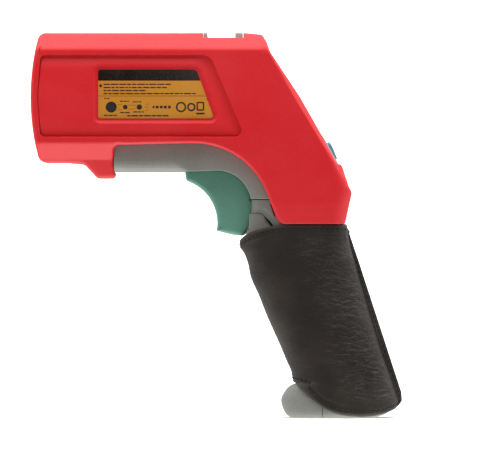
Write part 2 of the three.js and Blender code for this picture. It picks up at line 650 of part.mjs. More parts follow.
function addRearControls() {
  const edge = GAP;
  const frameOuter = block(DISPLAY.start + edge, DISPLAY.end - edge, -DISPLAY.halfWidth + edge,
    DISPLAY.halfWidth - edge, -3, DISPLAY.out);
  const aperture = block(7.5, 38.5, -17.5, 17.5, -5, 2);
  const seat = block(6.4, 39.6, -18.6, 18.6, -0.6, 2);
  addNode('display_bezel', cut(frameOuter, aperture, seat), FINISH.black(), rearFace);
  addNode('display_window', block(6.7, 39.3, -18.3, 18.3, -0.4, DISPLAY.out - 0.2), FINISH.glass(), rearFace);
  const plate = block(KEYPAD.start, KEYPAD.end, -KEYPAD.halfWidth, KEYPAD.halfWidth, 0.5, KEYPAD.out);
  const plug = block(KEYPAD.start + KEYPAD.lip + edge, KEYPAD.end - KEYPAD.lip - edge,
    -KEYPAD.halfWidth + KEYPAD.lip + edge, KEYPAD.halfWidth - KEYPAD.lip - edge, -2, 1);
  const keyCorners = (grow) => rounded(inset([[KEY.start, -KEY.width / 2, 1.5], [KEY.end, -KEY.width / 2, 1.5],
    [KEY.end, KEY.width / 2, 1.5], [KEY.start, KEY.width / 2, 1.5]], -grow));
  const upright = (points, z0, z1, shift) => {
    const geometry = new THREE.ExtrudeGeometry(new THREE.Shape(points), { depth: z1 - z0, bevelEnabled: false });
    return solid(geometry.translate(0, shift, z0));
  };
  const shifts = [['left', -KEY.pitch], ['middle', 0], ['right', KEY.pitch]];
  const wells = shifts.map(([, shift]) => upright(keyCorners(0.35), -5, 5, shift));
  addNode('keypad_bezel', cut(join(plate, plug), ...wells), FINISH.shoe(), rearFace);
  shifts.forEach(([name, shift]) => {
    const cap = upright(keyCorners(0), -KEY.depth, KEY.out - 0.5, shift);
    const crown = upright(keyCorners(-0.6), KEY.out - 0.6, KEY.out, shift);
    addNode(`key_${name}`, join(cap, crown), FINISH.blue(), rearFace);
  });
}

function addFrameAndTrigger() {
  const frame = cut(underFrame(), triggerRoom());
  for (const [name, side] of [['left', -1], ['right', 1]]) {
    addNode(`underframe_${name}`, halfOf(frame, side, 0.08), FINISH.grey());
  }
  addNode('trigger', trigger(), FINISH.green(), triggerPivot);
  addNode('trigger_pin', rod(TRIGGER.pinRadius, -18.6, 18.6, at(0, 0, 0), ALONG_Y, 24), FINISH.steel(),
    triggerPivot);
  addNode('trigger_spring', torsionSpring(), FINISH.steel(), triggerPivot);
  const body = block(-62, -48, -4, 4, 136.5, 144);
  addNode('trigger_switch', join(body, block(-60, -50, -2, 2, 135.4, 137)), FINISH.black());
}

function addGrip() {
  const pads = rounded(PAD_CORNERS);
  const padHoles = [slab(pads, 11.5, 30), slab(pads, -30, -11.5)];
  const shell = gripShell();
  const insertSeat = rod(5.6, -1, 9.5, at(TRIPOD_X, 0, 0), ALONG_Z, 24);
  const insertPost = rod(8, 1, 9.2, at(TRIPOD_X, 0, 0), ALONG_Z, 24);
  const door = cut(shell.intersect(gripSide(-1, SEAM_Z - 0.2)), triggerRoom(), ...padHoles);
  const body = cut(join(shell.intersect(gripSide(1, GRIP.topZ)), insertPost), insertSeat);
  addNode('battery_door', door, FINISH.grey());
  addNode('grip_body', body, FINISH.grey());
  addNode('release_pad_left', releasePad(-1), FINISH.grey());
  addNode('release_pad_right', releasePad(1), FINISH.grey());
  addNode('tripod_insert', turned([[3.1, 0.3], [5.3, 0.3], [5.3, 8.8], [3.1, 8.8]],
    at(TRIPOD_X, 0, 0), ALONG_Z, 24), FINISH.brass());
  addNode('leather_sleeve', sleeve(), FINISH.leather());
}

function addBatteries() {
  const half = CELL.pitch / 2;
  for (const [name, shift] of [['left', -half], ['right', half]]) {
    const cell = turned([[0, 0], [CELL.radius, 0], [CELL.radius, CELL.length - 1.6], [2.7, CELL.length - 1.6],
      [2.7, CELL.length - 0.2], [0, CELL.length - 0.2]], at(0, shift, 0), ALONG_Z, 28);
    addNode(`battery_cell_${name}`, cell, FINISH.cell(), cellBay);
    const spring = wire(new Helix(4, 1.1, 3), 0.4, 30, 5).translate(0, shift, -2.4);
    addNode(`battery_spring_${name}`, spring, FINISH.steel(), cellBay);
  }
  const cradle = block(1.5, 10, -13.6, 13.6, -1, 52);
  const hollows = [-half, half].map((shift) => rod(CELL.radius + 0.35, -5, 60, at(0, shift, 0), ALONG_Z, 28));
  addNode('battery_cradle', cut(cradle, ...hollows), FINISH.black(), cellBay);
  addNode('battery_contact_plate', block(-5, 6, -12, 12, 52.3, 53.1), FINISH.steel(), cellBay);
  for (const [name, y, finish] of [['red', 3, FINISH.wireRed()], ['black', -3, FINISH.wireBlack()]]) {
    const route = new THREE.CatmullRomCurve3([at(-11.5, y, 66.3), at(-13, y, 78), at(-15, y, 96), at(-20, y, 114),
      at(-28, y, 131), at(-36, y * 0.8, 142), at(-45.4, y * 0.6, 147)]);
    addNode(`battery_lead_${name}`, wire(route, 0.8, 16, 6), finish);
  }
}

addHousing();
addAccessoryShoe();
addOptics();
addElectronics();
addRearControls();
addFrameAndTrigger();
addGrip();
addBatteries();

export default thermometer;
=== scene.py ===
"""Infrared thermometer: the visible surfaces and finishes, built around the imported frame.

Sizes are millimetres in the frame's own axes (muzzle to -X, user at +X, left side at -Y, +Z up)
and become metres when a mesh is made.
"""
import logging
import math
from collections.abc import Callable, Sequence
from dataclasses import dataclass, field
from enum import Enum

import bmesh
import bpy
import numpy as np
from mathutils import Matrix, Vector, geometry


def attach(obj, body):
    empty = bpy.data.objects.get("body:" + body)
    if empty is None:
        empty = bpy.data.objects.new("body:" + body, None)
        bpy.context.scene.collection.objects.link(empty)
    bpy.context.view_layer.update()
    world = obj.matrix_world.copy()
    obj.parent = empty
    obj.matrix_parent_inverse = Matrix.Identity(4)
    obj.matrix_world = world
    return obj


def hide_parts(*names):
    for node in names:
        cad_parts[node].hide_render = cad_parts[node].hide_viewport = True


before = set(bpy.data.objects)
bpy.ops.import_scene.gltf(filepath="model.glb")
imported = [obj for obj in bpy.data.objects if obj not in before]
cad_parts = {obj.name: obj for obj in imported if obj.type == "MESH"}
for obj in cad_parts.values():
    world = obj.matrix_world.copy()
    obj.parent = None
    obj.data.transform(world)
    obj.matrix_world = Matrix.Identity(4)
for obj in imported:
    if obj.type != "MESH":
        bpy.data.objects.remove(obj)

MM = 0.001
WELD_MM = 0.002
THROUGH = ((-40.0, 0.0), (40.0, 0.0))
RNG_SEED = 7

Array = np.ndarray
Corner = tuple[float, float, float]
Height = Callable[[Array], Array]
Place = Callable[[Array], Array]

log = logging.getLogger("thermometer")


# -------------------- outlines

def arc(x: float, z: float, radius: float, start: float, end: float, steps: int) -> list[Corner]:
    """Corners along an arc about (x, z), from one angle to another in degrees."""
    angles = np.radians(np.linspace(start, end, steps + 1))
    return [(x + radius * math.cos(a), z + radius * math.sin(a), 0.0) for a in angles]


def anticlockwise(loop: Array) -> Array:
    """The closed loop, listed anticlockwise."""
    ahead = np.roll(loop, -1, axis=0)
    area = (loop[:, 0] * ahead[:, 1] - ahead[:, 0] * loop[:, 1]).sum()
    return loop if area > 0 else loop[::-1]


def rounded(corners: Sequence[Corner], chord: float = 0.14) -> Array:
    """Closed loop through the corners, where each radius is a tangent arc.

    Args:
        corners: (x, z, radius) of each corner.
        chord: the angle in radians that one chord of an arc turns through.

    Returns:
        The loop's points, anticlockwise.
    """
    spots = np.array([c[:2] for c in corners], float)
    pieces = []
    for i, (here, radius) in enumerate(zip(spots, (c[2] for c in corners))):
        if radius < 0.06:
            pieces.append(here[None])
            continue
        back = spots[i - 1] - here
        on = spots[(i + 1) % len(corners)] - here
        back /= np.linalg.norm(back)
        on /= np.linalg.norm(on)
        half = math.acos(float(np.clip(back @ on, -1, 1))) / 2
        middle = (back + on) / np.linalg.norm(back + on)
        centre = here + middle * radius / math.sin(half)
        start = here + back * radius / math.tan(half) - centre
        turn = math.copysign(math.pi - 2 * half, back[1] * on[0] - back[0] * on[1])
        a = np.linspace(0, turn, max(2, math.ceil(abs(turn) / chord) + 1))
        x_axis, y_axis = start, np.array([-start[1], start[0]])
        pieces.append(centre + np.cos(a)[:, None] * x_axis + np.sin(a)[:, None] * y_axis)
    return anticlockwise(np.vstack(pieces))


def shrunk(corners: Sequence[Corner], distance: float) -> list[Corner]:
    """Corners of the outline moved inwards (outwards if negative), with their roundings kept concentric."""
    spots = np.array([c[:2] for c in corners], float)
    ahead = np.roll(spots, -1, axis=0) - spots
    area = (spots[:, 0] * ahead[:, 1] - spots[:, 1] * ahead[:, 0]).sum()
    ahead /= np.linalg.norm(ahead, axis=1, keepdims=True)
    way = math.copysign(1, area)
    on = np.stack([-ahead[:, 1], ahead[:, 0]], axis=1) * way
    before = np.roll(on, 1, axis=0)
    moved = spots + (on + before) * (distance / (1 + (on * before).sum(1)))[:, None]
    back = np.roll(ahead, 1, axis=0)
    convex = (back[:, 0] * ahead[:, 1] - back[:, 1] * ahead[:, 0]) * way > 0
    radii = np.array([c[2] for c in corners])
    grown = np.maximum(np.where(convex, radii - distance, radii + distance), 0.0)
    return [(*map(float, spot), float(r)) for spot, r in zip(moved, np.where(radii > 0, grown, 0.0))]


def refined(loop: Array, step: float) -> Array:
    """The same loop with no side longer than the step."""
    side = np.roll(loop, -1, axis=0) - loop
    counts = np.maximum(1, np.ceil(np.linalg.norm(side, axis=1) / step)).astype(int)
    owner = np.repeat(np.arange(len(loop)), counts)
    share = (np.arange(counts.sum()) - (np.cumsum(counts) - counts)[owner]) / counts[owner]
    return loop[owner] + side[owner] * share[:, None]


def inward(loop: Array) -> Array:
    """Mitred inward normals of an anticlockwise loop: moving every point by one moves every side by one."""
    ahead = np.roll(loop, -1, axis=0) - loop
    ahead /= np.maximum(np.linalg.norm(ahead, axis=1, keepdims=True), 1e-9)
    left = np.stack([-ahead[:, 1], ahead[:, 0]], axis=1)
    both = left + np.roll(left, 1, axis=0)
    return both / np.maximum((both * left).sum(1, keepdims=True), 0.6)


def inset(loop: Array, distance: float) -> Array:
    """The loop moved inwards (outwards if the distance is negative)."""
    return loop + inward(loop) * distance


def inside(points: Array, loop: Array) -> Array:
    """Whether each point is inside the loop, by counting crossings of a ray to its right."""
    a, b = loop[:, None], np.roll(loop, -1, axis=0)[:, None]
    x, z = points[None, :, 0], points[None, :, 1]
    spans = (a[..., 1] > z) != (b[..., 1] > z)
    rise = np.where(spans, b[..., 1] - a[..., 1], 1.0)
    crossing = a[..., 0] + (z - a[..., 1]) * (b[..., 0] - a[..., 0]) / rise
    return (spans & (x < crossing)).sum(0) % 2 == 1


def far_from(points: Array, loop: Array, margin: float) -> Array:
    """Whether each point is at least the margin from every point of the loop."""
    gap = ((points[:, None] - loop[None]) ** 2).sum(2).min(1)
    return gap > margin * margin


def lattice(xs: Array, zs: Array) -> Array:
    """All pairs of the two sets of lines, as points."""
    grid = np.meshgrid(xs, zs, indexing="ij")
    return np.stack(grid, axis=-1).reshape(-1, 2)


def near_lines(places: Sequence[float], reach: float = 1.6, count: int = 7) -> Array:
    """Closely spaced line positions around each place, for a crease that bends there."""
    offsets = np.linspace(-reach, reach, count)
    return (np.array(places)[:, None] + offsets).ravel()


def triangulated(outer: Array, spots: Array, holes: Sequence[Array] = ()) -> tuple[Array, Array]:
    """Triangles over the outer loop less the holes, through every spot (constrained Delaunay).

    Returns:
        The points (n, 2) and the triangles (m, 3).
    """
    loops = [outer, *holes]
    starts = np.cumsum([0] + [len(loop) for loop in loops])
    sides = np.vstack([
        start + np.stack([np.arange(len(loop)), np.roll(np.arange(len(loop)), -1)], axis=1)
        for start, loop in zip(starts, loops)
    ])
    points = np.vstack([*loops, spots])
    found = geometry.delaunay_2d_cdt([Vector(p) for p in points], sides.tolist(), [], 0, 1e-6)
    flat = np.array([tuple(v) for v in found[0]])
    faces = np.array(found[2])
    middle = flat[faces].mean(1)
    keep = inside(middle, outer)
    for hole in holes:
        keep &= ~inside(middle, hole)
    return flat, faces[keep]


def smooth_step(value: Array, low: float, high: float) -> Array:
    """0 below low, 1 above high, and a smooth cubic between."""
    t = np.clip((value - low) / (high - low), 0, 1)
    return t * t * (3 - 2 * t)


def soft_min(a: Array, b: Array, blend: float) -> Array:
    """The smaller of two heights, with the crease between them rounded over the blend width."""
    share = np.clip(0.5 + 0.5 * (b - a) / blend, 0, 1)
    return b + (a - b) * share - blend * share * (1 - share)


# -------------------- places

def right_side(local: Array) -> Array:
    """Local (x, z, height) as a point on the right side: the height is +Y."""
    return local[..., [0, 2, 1]]


def left_side(local: Array) -> Array:
    """Local (x, z, height) as a point on the left side: the height is -Y."""
    return local[..., [0, 2, 1]] * np.array([1.0, -1.0, 1.0])


def upright(local: Array) -> Array:
    """Local (x, y, height) with the height along +Z."""
    return local


@dataclass(frozen=True)
class Slope:
    """The housing's rear slope: local axes run down it, across it and out of it."""

    x: float = -32.0
    z: float = 180.75
    degrees: float = 59.27

    @property
    def down(self) -> Array:
        """Unit vector down the slope."""
        a = math.radians(self.degrees)
        return np.array([math.cos(a), 0.0, -math.sin(a)])

    @property
    def out(self) -> Array:
        """Unit vector straight out of the slope."""
        a = math.radians(self.degrees)
        return np.array([math.sin(a), 0.0, math.cos(a)])

    def place(self, local: Array) -> Array:
        """Local (down, across, out) as points in the frame."""
        across = np.array([0.0, 1.0, 0.0])
        start = np.array([self.x, 0.0, self.z])
        return start + local[..., :1] * self.down + local[..., 1:2] * across + local[..., 2:] * self.out

    def side_point(self, along: float, out: float, radius: float = 0.0) -> Corner:
        """A corner of the side view, given by its place on the slope."""
        spot = self.place(np.array([along, 0.0, out]))
        return (float(spot[0]), float(spot[2]), radius)

    def out_of(self, points: Array) -> Array:
        """How far side-view points stand out of the slope's plane."""
        return (points[:, 0] - self.x) * self.out[0] + (points[:, 1] - self.z) * self.out[2]


SLOPE = Slope()


# -------------------- meshes

class Skin:
    """Patches of surface in millimetres that are welded into one mesh."""

    def __init__(self) -> None:
        self.points: list[Array] = []
        self.blocks: list[Array] = []
        self.count = 0

    def patch(self, points: Array, faces: Array) -> "Skin":
        """Adds points (n, 3) and faces that index them."""
        self.points.append(np.asarray(points, float))
        self.blocks.append(np.asarray(faces) + self.count)
        self.count += len(points)
        return self

    def grid(self, rows: Array, ring: bool = False, loop: bool = False) -> "Skin":
        """Adds quads over points (rows, columns, 3).

        Args:
            rows: the grid of points.
            ring: whether the last column joins the first.
            loop: whether the last row joins the first.
        """
        high, wide = rows.shape[:2]
        index = np.arange(high * wide).reshape(high, wide)
        if ring:
            index = np.hstack([index, index[:, :1]])
        if loop:
            index = np.vstack([index, index[:1]])
        quads = np.stack([index[:-1, :-1], index[:-1, 1:], index[1:, 1:], index[1:, :-1]], axis=-1)
        return self.patch(rows.reshape(-1, 3), quads.reshape(-1, 4))

    def add(self, other: "Skin", place: Place = upright) -> "Skin":
        """Adds another skin, moved by the place."""
        self.points.append(place(np.vstack(other.points)))
        self.blocks.extend(block + self.count for block in other.blocks)
        self.count += other.count
        return self

    def mesh(self, name: str, sharp: float = 35.0, masks: dict[str, Array] | None = None) -> bpy.types.Mesh:
        """The welded mesh in metres, with outward normals.

        Args:
            name: the mesh's name.
            sharp: edges sharper than this many degrees are shaded sharp.
            masks: by name, one value for each point, kept as an attribute.

        Returns:
            The mesh.
        """
        mesh = bpy.data.meshes.new(name)
        faces = [face for block in self.blocks for face in block.tolist()]
        mesh.from_pydata((np.vstack(self.points) * MM).tolist(), [], faces)
        for label, values in (masks or {}).items():
            mesh.attributes.new(label, "FLOAT", "POINT").data.foreach_set("value", values.astype(np.float32))
        tidy_mesh(mesh, sharp)
        return mesh


def tidy_mesh(mesh: bpy.types.Mesh, sharp: float, weld: float = WELD_MM) -> None:
    """Welds doubles, turns the faces outwards and sets the shading."""
    work = bmesh.new()
    work.from_mesh(mesh)
    bmesh.ops.remove_doubles(work, verts=work.verts, dist=weld * MM)
    bmesh.ops.dissolve_degenerate(work, edges=work.edges, dist=weld * MM * 0.5)
    bmesh.ops.recalc_face_normals(work, faces=work.faces)
    work.to_mesh(mesh)
    work.free()
    mesh.shade_smooth()
    mesh.set_sharp_from_angle(angle=math.radians(sharp))


def carved(mesh: bpy.types.Mesh, tools: Skin, sharp: float = 30.0, keep: bool = False) -> bpy.types.Mesh:
    """The mesh with the tools' closed bodies cut away (or, with keep, only what lies in them)."""
    scene = bpy.context.scene.collection
    body = bpy.data.objects.new("work_body", mesh)
    tool = bpy.data.objects.new("work_tool", tools.mesh("work_tool"))
    scene.objects.link(body)
    scene.objects.link(tool)
    cut = body.modifiers.new("cut", "BOOLEAN")
    cut.object = tool
    cut.operation = "INTERSECT" if keep else "DIFFERENCE"
    cut.solver = "EXACT"
    cut.use_self = True
    bpy.context.view_layer.update()
    shaped = body.evaluated_get(bpy.context.evaluated_depsgraph_get())
    result = bpy.data.meshes.new_from_object(shaped)
    result.name = mesh.name
    bpy.data.objects.remove(body)
    bpy.data.objects.remove(tool)
    tidy_mesh(result, sharp, weld=0.0008)
    return result


def relief(outline: Array, height: Height | float, edge: Array | float, back: Height | float,
           back_edge: float = 0.3, spots: Array | None = None, recesses: Sequence["Recess"] = (),
           cavity: "Cavity | None" = None, open_back: bool = False, arc_steps: int = 5) -> Skin:
    """A body that rises from a flat back to a face given as a height over its outline.

    Round the rim the face turns down through a quarter circle: at angle a it is edge * (1 - cos a) in
    from the outline and edge * (1 - sin a) under the face.

    Args:
        outline: the rim, anticlockwise in the local plane.
        height: the face's height at given points, or one height.
        edge: the radius of the rim, or one radius for each of its points.
        back: the height of the back, or its height at given points.
        back_edge: the chamfer of the back's rim.
        spots: points that the face's triangles pass through.
        recesses: sunk areas in the face.
        cavity: a hollow that is open at the back.
        open_back: leaves the back open, for two halves that are welded there.
        arc_steps: chords in the quarter circle.

    Returns:
        The body in local (x, z, height).
    """
    def level(points: Array) -> Array:
        return height(points) if callable(height) else np.full(len(points), float(height))

    def under(points: Array) -> Array:
        return back(points) if callable(back) else np.full(len(points), float(back))

    def row(points: Array, heights: Array) -> Array:
        return np.column_stack([points, heights])

    skin = Skin()
    radius = np.broadcast_to(edge, len(outline))
    chamfer = 0.0 if open_back else back_edge
    first = inset(outline, chamfer)
    rows = [row(first, under(first))] if chamfer else []
    rows.append(row(outline, under(outline) + chamfer))
    for angle in np.linspace(0, math.pi / 2, arc_steps + 1):
        ring = outline + inward(outline) * (radius * (1 - math.cos(angle)))[:, None]
        rows.append(row(ring, level(ring) - radius * (1 - math.sin(angle))))
    skin.grid(np.stack(rows), ring=True)
    rim = rows[-1][:, :2]
    inner = np.zeros((0, 2)) if spots is None else spots[inside(spots, rim)]
    if len(inner):
        inner = inner[far_from(inner, rim, 0.5)]
    for recess in recesses:
        inner = recess.clear(inner)
        recess.build(skin, level)
    flat, faces = triangulated(rim, inner, [recess.lip for recess in recesses])
    skin.patch(row(flat, level(flat)), faces)
    if not open_back:
        mouth = [cavity.outline] if cavity else []
        flat, faces = triangulated(rows[0][:, :2], np.zeros((0, 2)), mouth)
        skin.patch(row(flat, under(flat)), faces)
    if cavity:
        cavity.build(skin, level, under)
    return skin


@dataclass(frozen=True)
class Cavity:
    """The hollow of a shell: an inner outline, and how far its roof lies under the outer face."""

    outline: Array
    drop: float
    spacing: float = 5.0

    def build(self, skin: Skin, level: Height, under: Height) -> None:
        """Adds the hollow's walls and roof to the skin."""
        ring, inner = self.outline, inset(self.outline, 0.6)
        roof = level(inner) - self.drop
        rows = [np.column_stack([ring, under(ring)]), np.column_stack([ring, roof - 0.6]),
                np.column_stack([inner, roof])]
        skin.grid(np.stack(rows), ring=True)
        low, high = inner.min(0), inner.max(0)
        spots = lattice(np.arange(low[0], high[0], self.spacing), np.arange(low[1], high[1], self.spacing))
        spots = spots[inside(spots, inner)]
        spots = spots[far_from(spots, inner, 0.8)]
        flat, faces = triangulated(inner, spots)
        skin.patch(np.column_stack([flat, level(flat) - self.drop]), faces)


@dataclass(frozen=True)
class Recess:
    """A sunk area of a face: a rounded lip, a wall that leans inwards, and a floor parallel to the face."""

    outline: Array
    depth: float
    lip_radius: float = 0.4
    lean: float = 0.0
    spacing: float = 3.0

    @property
    def lip(self) -> Array:
        """The outer rim of the lip."""
        return inset(self.outline, -self.lip_radius)

    def clear(self, spots: Array) -> Array:
        """The spots that stay on the face."""
        if not len(spots):
            return spots
        return spots[~inside(spots, self.lip) & far_from(spots, self.lip, 0.5)]

    def build(self, skin: Skin, level: Height) -> None:
        """Adds the lip, the wall and the floor to the skin."""
        rows = []
        for angle in np.linspace(0, math.pi / 2, 5):
            ring = inset(self.outline, -self.lip_radius * (1 - math.sin(angle)))
            drop = self.lip_radius * (1 - math.cos(angle))
            rows.append(np.column_stack([ring, level(ring) - drop]))
        for share in (0.45, 0.8, 1.0):
            ring = inset(self.outline, self.lean * share)
            sink = self.lip_radius + (self.depth - self.lip_radius) * (1 - (1 - share) ** 2)
            rows.append(np.column_stack([ring, level(ring) - sink]))
        skin.grid(np.stack(rows), ring=True)
        floor = rows[-1][:, :2]
        low, high = floor.min(0), floor.max(0)
        spots = lattice(np.arange(low[0], high[0], self.spacing), np.arange(low[1], high[1], self.spacing))
        spots = spots[inside(spots, floor)]
        spots = spots[far_from(spots, floor, 0.5)]
        flat, faces = triangulated(floor, spots)
        skin.patch(np.column_stack([flat, level(flat) - self.depth]), faces)


def box_outline(x0: float, x1: float, z0: float, z1: float, radius: float) -> Array:
    """A rectangle with round corners."""
    return rounded([(x0, z0, radius), (x1, z0, radius), (x1, z1, radius), (x0, z1, radius)])


class Axis(Enum):
    """The direction that a turned piece is turned about."""

    X = (1, 2, 0)
    Y = (2, 0, 1)
    Z = (0, 1, 2)


def turned(profile: Sequence[Corner], centre: tuple[float, float, float], axis: Axis,
           segments: int = 96, chord: float = 0.3) -> Skin:
    """A piece turned about an axis: its cornered profile (radius, distance along) swept round.

    Each point of the profile becomes (radius * cos u, radius * sin u, distance) for u from 0 to a turn.
    A profile whose ends are on the axis closes at poles; any other closes on itself.
    """
    loop = rounded(profile, chord)
    on_axis = loop[:, 0] < 1e-6
    if on_axis.sum() >= 2:
        start = int(np.flatnonzero(on_axis & ~np.roll(on_axis, -1))[0])
        loop = np.roll(loop, -start, axis=0)
    u = np.linspace(0, 2 * math.pi, segments, endpoint=False)
    local = np.stack([
        loop[:, :1] * np.cos(u),
        loop[:, :1] * np.sin(u),
        np.broadcast_to(loop[:, 1:], (len(loop), segments)),
    ], axis=-1)
    order = np.argsort(axis.value)
    skin = Skin()
    return skin.grid(local[..., order] + np.array(centre), ring=True, loop=not on_axis.any())


def tube(path: Array, radius: float, sides: int = 8, closed_ends: bool = True) -> Skin:
    """A round wire along a path: a circle in the plane across the path at each of its points."""
    tangent = np.gradient(path, axis=0)
    tangent /= np.linalg.norm(tangent, axis=1, keepdims=True)
    helper = np.array([0.0, 1.0, 0.0]) if abs(tangent[:, 1]).mean() < 0.7 else np.array([0.0, 0.0, 1.0])
    side = np.cross(tangent, helper)
    side /= np.linalg.norm(side, axis=1, keepdims=True)
    up = np.cross(side, tangent)
    u = np.linspace(0, 2 * math.pi, sides, endpoint=False)
    ring = np.cos(u)[None, :, None] * side[:, None] + np.sin(u)[None, :, None] * up[:, None]
    rows = path[:, None] + radius * ring
    skin = Skin().grid(rows, ring=True)
    if closed_ends:
        fan = np.arange(sides)
        for end in (rows[0], rows[-1]):
            skin.patch(end, [fan.tolist()])
    return skin


def prism(outline: Array, levels: Sequence[tuple[float, float]]) -> Skin:
    """A closed prism: the outline at each (height, growth) in turn, with flat ends."""
    rows = [np.column_stack([inset(outline, -grow), np.full(len(outline), height)])
            for height, grow in levels]
    skin = Skin().grid(np.stack(rows), ring=True)
    for row in (rows[0], rows[-1]):
        _, faces = triangulated(row[:, :2], np.zeros((0, 2)))
        skin.patch(row, faces)
    return skin


def ring_frame(outline: Array, section: Sequence[tuple[float, float]]) -> Skin:
    """A frame: a closed section of (inset, height) points carried round the outline."""
    rows = [np.column_stack([inset(outline, step), np.full(len(outline), height)])
            for step, height in section]
    return Skin().grid(np.stack(rows), ring=True, loop=True)


def two_sided(outline: Array, height: Height | float, edge: Array | float,
              spots: Array | None = None) -> Skin:
    """A piece that is the same on both sides of the mid plane, joined there."""
    half = relief(outline, height, edge, 0.0, spots=spots, open_back=True)
    return Skin().add(half, left_side).add(half, right_side)


def mirrored(mesh: bpy.types.Mesh, name: str) -> bpy.types.Mesh:
    """A copy on the other side of the mid plane, its faces turned outwards again."""
    other = mesh.copy()
    other.name = name
    points = np.empty(len(other.vertices) * 3)
    other.vertices.foreach_get("co", points)
    points[1::3] *= -1
    other.vertices.foreach_set("co", points)
    other.flip_normals()
    other.update()
    return other


def make_piece(mesh: bpy.types.Mesh, body: str, slot: str, finish: bpy.types.Material,
               *replaced: str) -> bpy.types.Object:
    """Puts a mesh in the scene as a piece of a body, in place of CAD nodes."""
    piece = bpy.data.objects.new(mesh.name, mesh)
    bpy.context.scene.collection.objects.link(piece)
    mesh.materials.clear()
    mesh.materials.append(finish)
    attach(piece, body)
    if replaced:
        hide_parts(*replaced)
    log.info("%s: %d faces", mesh.name, len(mesh.polygons))
    return piece


# -------------------- finishes

def linear(red: float, green: float, blue: float) -> tuple[float, float, float, float]:
    """An 8-bit display colour as the linear colour that shader sockets take."""
    parts = [c / 255 for c in (red, green, blue)]
    r, g, b = (c / 12.92 if c <= 0.04045 else ((c + 0.055) / 1.055) ** 2.4 for c in parts)
    return (r, g, b, 1.0)


DUST = linear(205, 200, 192)
HIDE_DUST = linear(190, 182, 170)
GLASS_DUST = linear(200, 200, 200)
BACKDROP = linear(251, 253, 252)
COAT_ROUGHNESS = 0.15


class Nodes:
    """Places and links the nodes of one tree."""

    def __init__(self, tree: bpy.types.NodeTree) -> None:
        self.tree = tree

    def add(self, kind: str, inputs: dict[str | int, object] | None = None,
            **settings: object) -> bpy.types.Node:
        """Adds a node.

        Args:
            kind: the node's type, without its "ShaderNode" start unless it is a Node of another family.
            inputs: socket values, or sockets to link from, by input name or index.
            settings: the node's own properties.

        Returns:
            The new node.
        """
        node = self.tree.nodes.new(kind if kind.startswith("Node") else "ShaderNode" + kind)
        for key, value in settings.items():
            setattr(node, key, value)
        for key, value in (inputs or {}).items():
            if isinstance(value, bpy.types.NodeSocket):
                self.tree.links.new(value, node.inputs[key])
            else:
                node.inputs[key].default_value = value
        return node

    def group(self, group: bpy.types.NodeTree, inputs: dict[str | int, object]) -> bpy.types.Node:
        """Places a shared group with its own values."""
        return self.add("Group", inputs, node_tree=group)

    def math(self, operation: str, first: object, second: object = 0.0, third: object = 0.0,
             clamp: bool = False) -> bpy.types.NodeSocket:
        """One arithmetic step on values."""
        node = self.add("Math", {0: first, 1: second, 2: third}, operation=operation, use_clamp=clamp)
        return node.outputs[0]

    def product(self, first: object, second: object, clamp: bool = False) -> bpy.types.NodeSocket:
        """Two values multiplied."""
        return self.math("MULTIPLY", first, second, clamp=clamp)

    def scaled(self, value: object, factor: object, offset: object,
               clamp: bool = False) -> bpy.types.NodeSocket:
        """A value times a factor, plus an offset."""
        return self.math("MULTIPLY_ADD", value, factor, offset, clamp)

    def surface(self, **inputs: object) -> None:
        """The shader and the material's output, with underlines for the spaces in the sockets' names."""
        shader = self.add("BsdfPrincipled", {name.replace("_", " "): value for name, value in inputs.items()})
        self.add("OutputMaterial", {"Surface": shader.outputs[0]})

    def mix(self, factor: object, first: object, second: object, blend: str = "MIX") -> bpy.types.NodeSocket:
        """A colour between two others."""
        node = self.add("Mix", {0: factor, 6: first, 7: second}, data_type="RGBA", blend_type=blend)
        return node.outputs[2]

    def ramp(self, value: object, low: float, high: float, start: float = 0.0,
             end: float = 1.0) -> bpy.types.NodeSocket:
        """A value carried smoothly from one range to another, held at its ends."""
        inputs = {0: value, 1: low, 2: high, 3: start, 4: end}
        node = self.add("MapRange", inputs, interpolation_type="SMOOTHSTEP")
        return node.outputs[0]


class Group(Nodes):
    """A shader group that takes coordinates and numbers and gives numbers."""

    def __init__(self, name: str, outputs: Sequence[str], **numbers: float) -> None:
        """Makes the tree and its sockets.

        Args:
            name: the group's name.
            outputs: the names of its outputs.
            numbers: the default of each input besides the coordinates.
        """
        super().__init__(bpy.data.node_groups.new(name, "ShaderNodeTree"))
        sockets = self.tree.interface
        sockets.new_socket("Vector", in_out="INPUT", socket_type="NodeSocketVector")
        for label, value in numbers.items():
            given = sockets.new_socket(label, in_out="INPUT", socket_type="NodeSocketFloat")
            given.default_value = value
        for label in outputs:
            sockets.new_socket(label, in_out="OUTPUT", socket_type="NodeSocketFloat")
        self.given = self.add("NodeGroupInput").outputs
        self.where = self.given["Vector"]

    def give(self, **values: bpy.types.NodeSocket) -> bpy.types.NodeTree:
        """Links the outputs by name and returns the tree."""
        self.add("NodeGroupOutput", values)
        return self.tree


def new_material(name: str) -> tuple[bpy.types.Material, Nodes, bpy.types.NodeSocket]:
    """An empty material, its node placer and its Object coordinates."""
    material = bpy.data.materials.new(name)
    material.use_nodes = True
    material.node_tree.nodes.clear()
    nodes = Nodes(material.node_tree)
    return material, nodes, nodes.add("TexCoord").outputs["Object"]


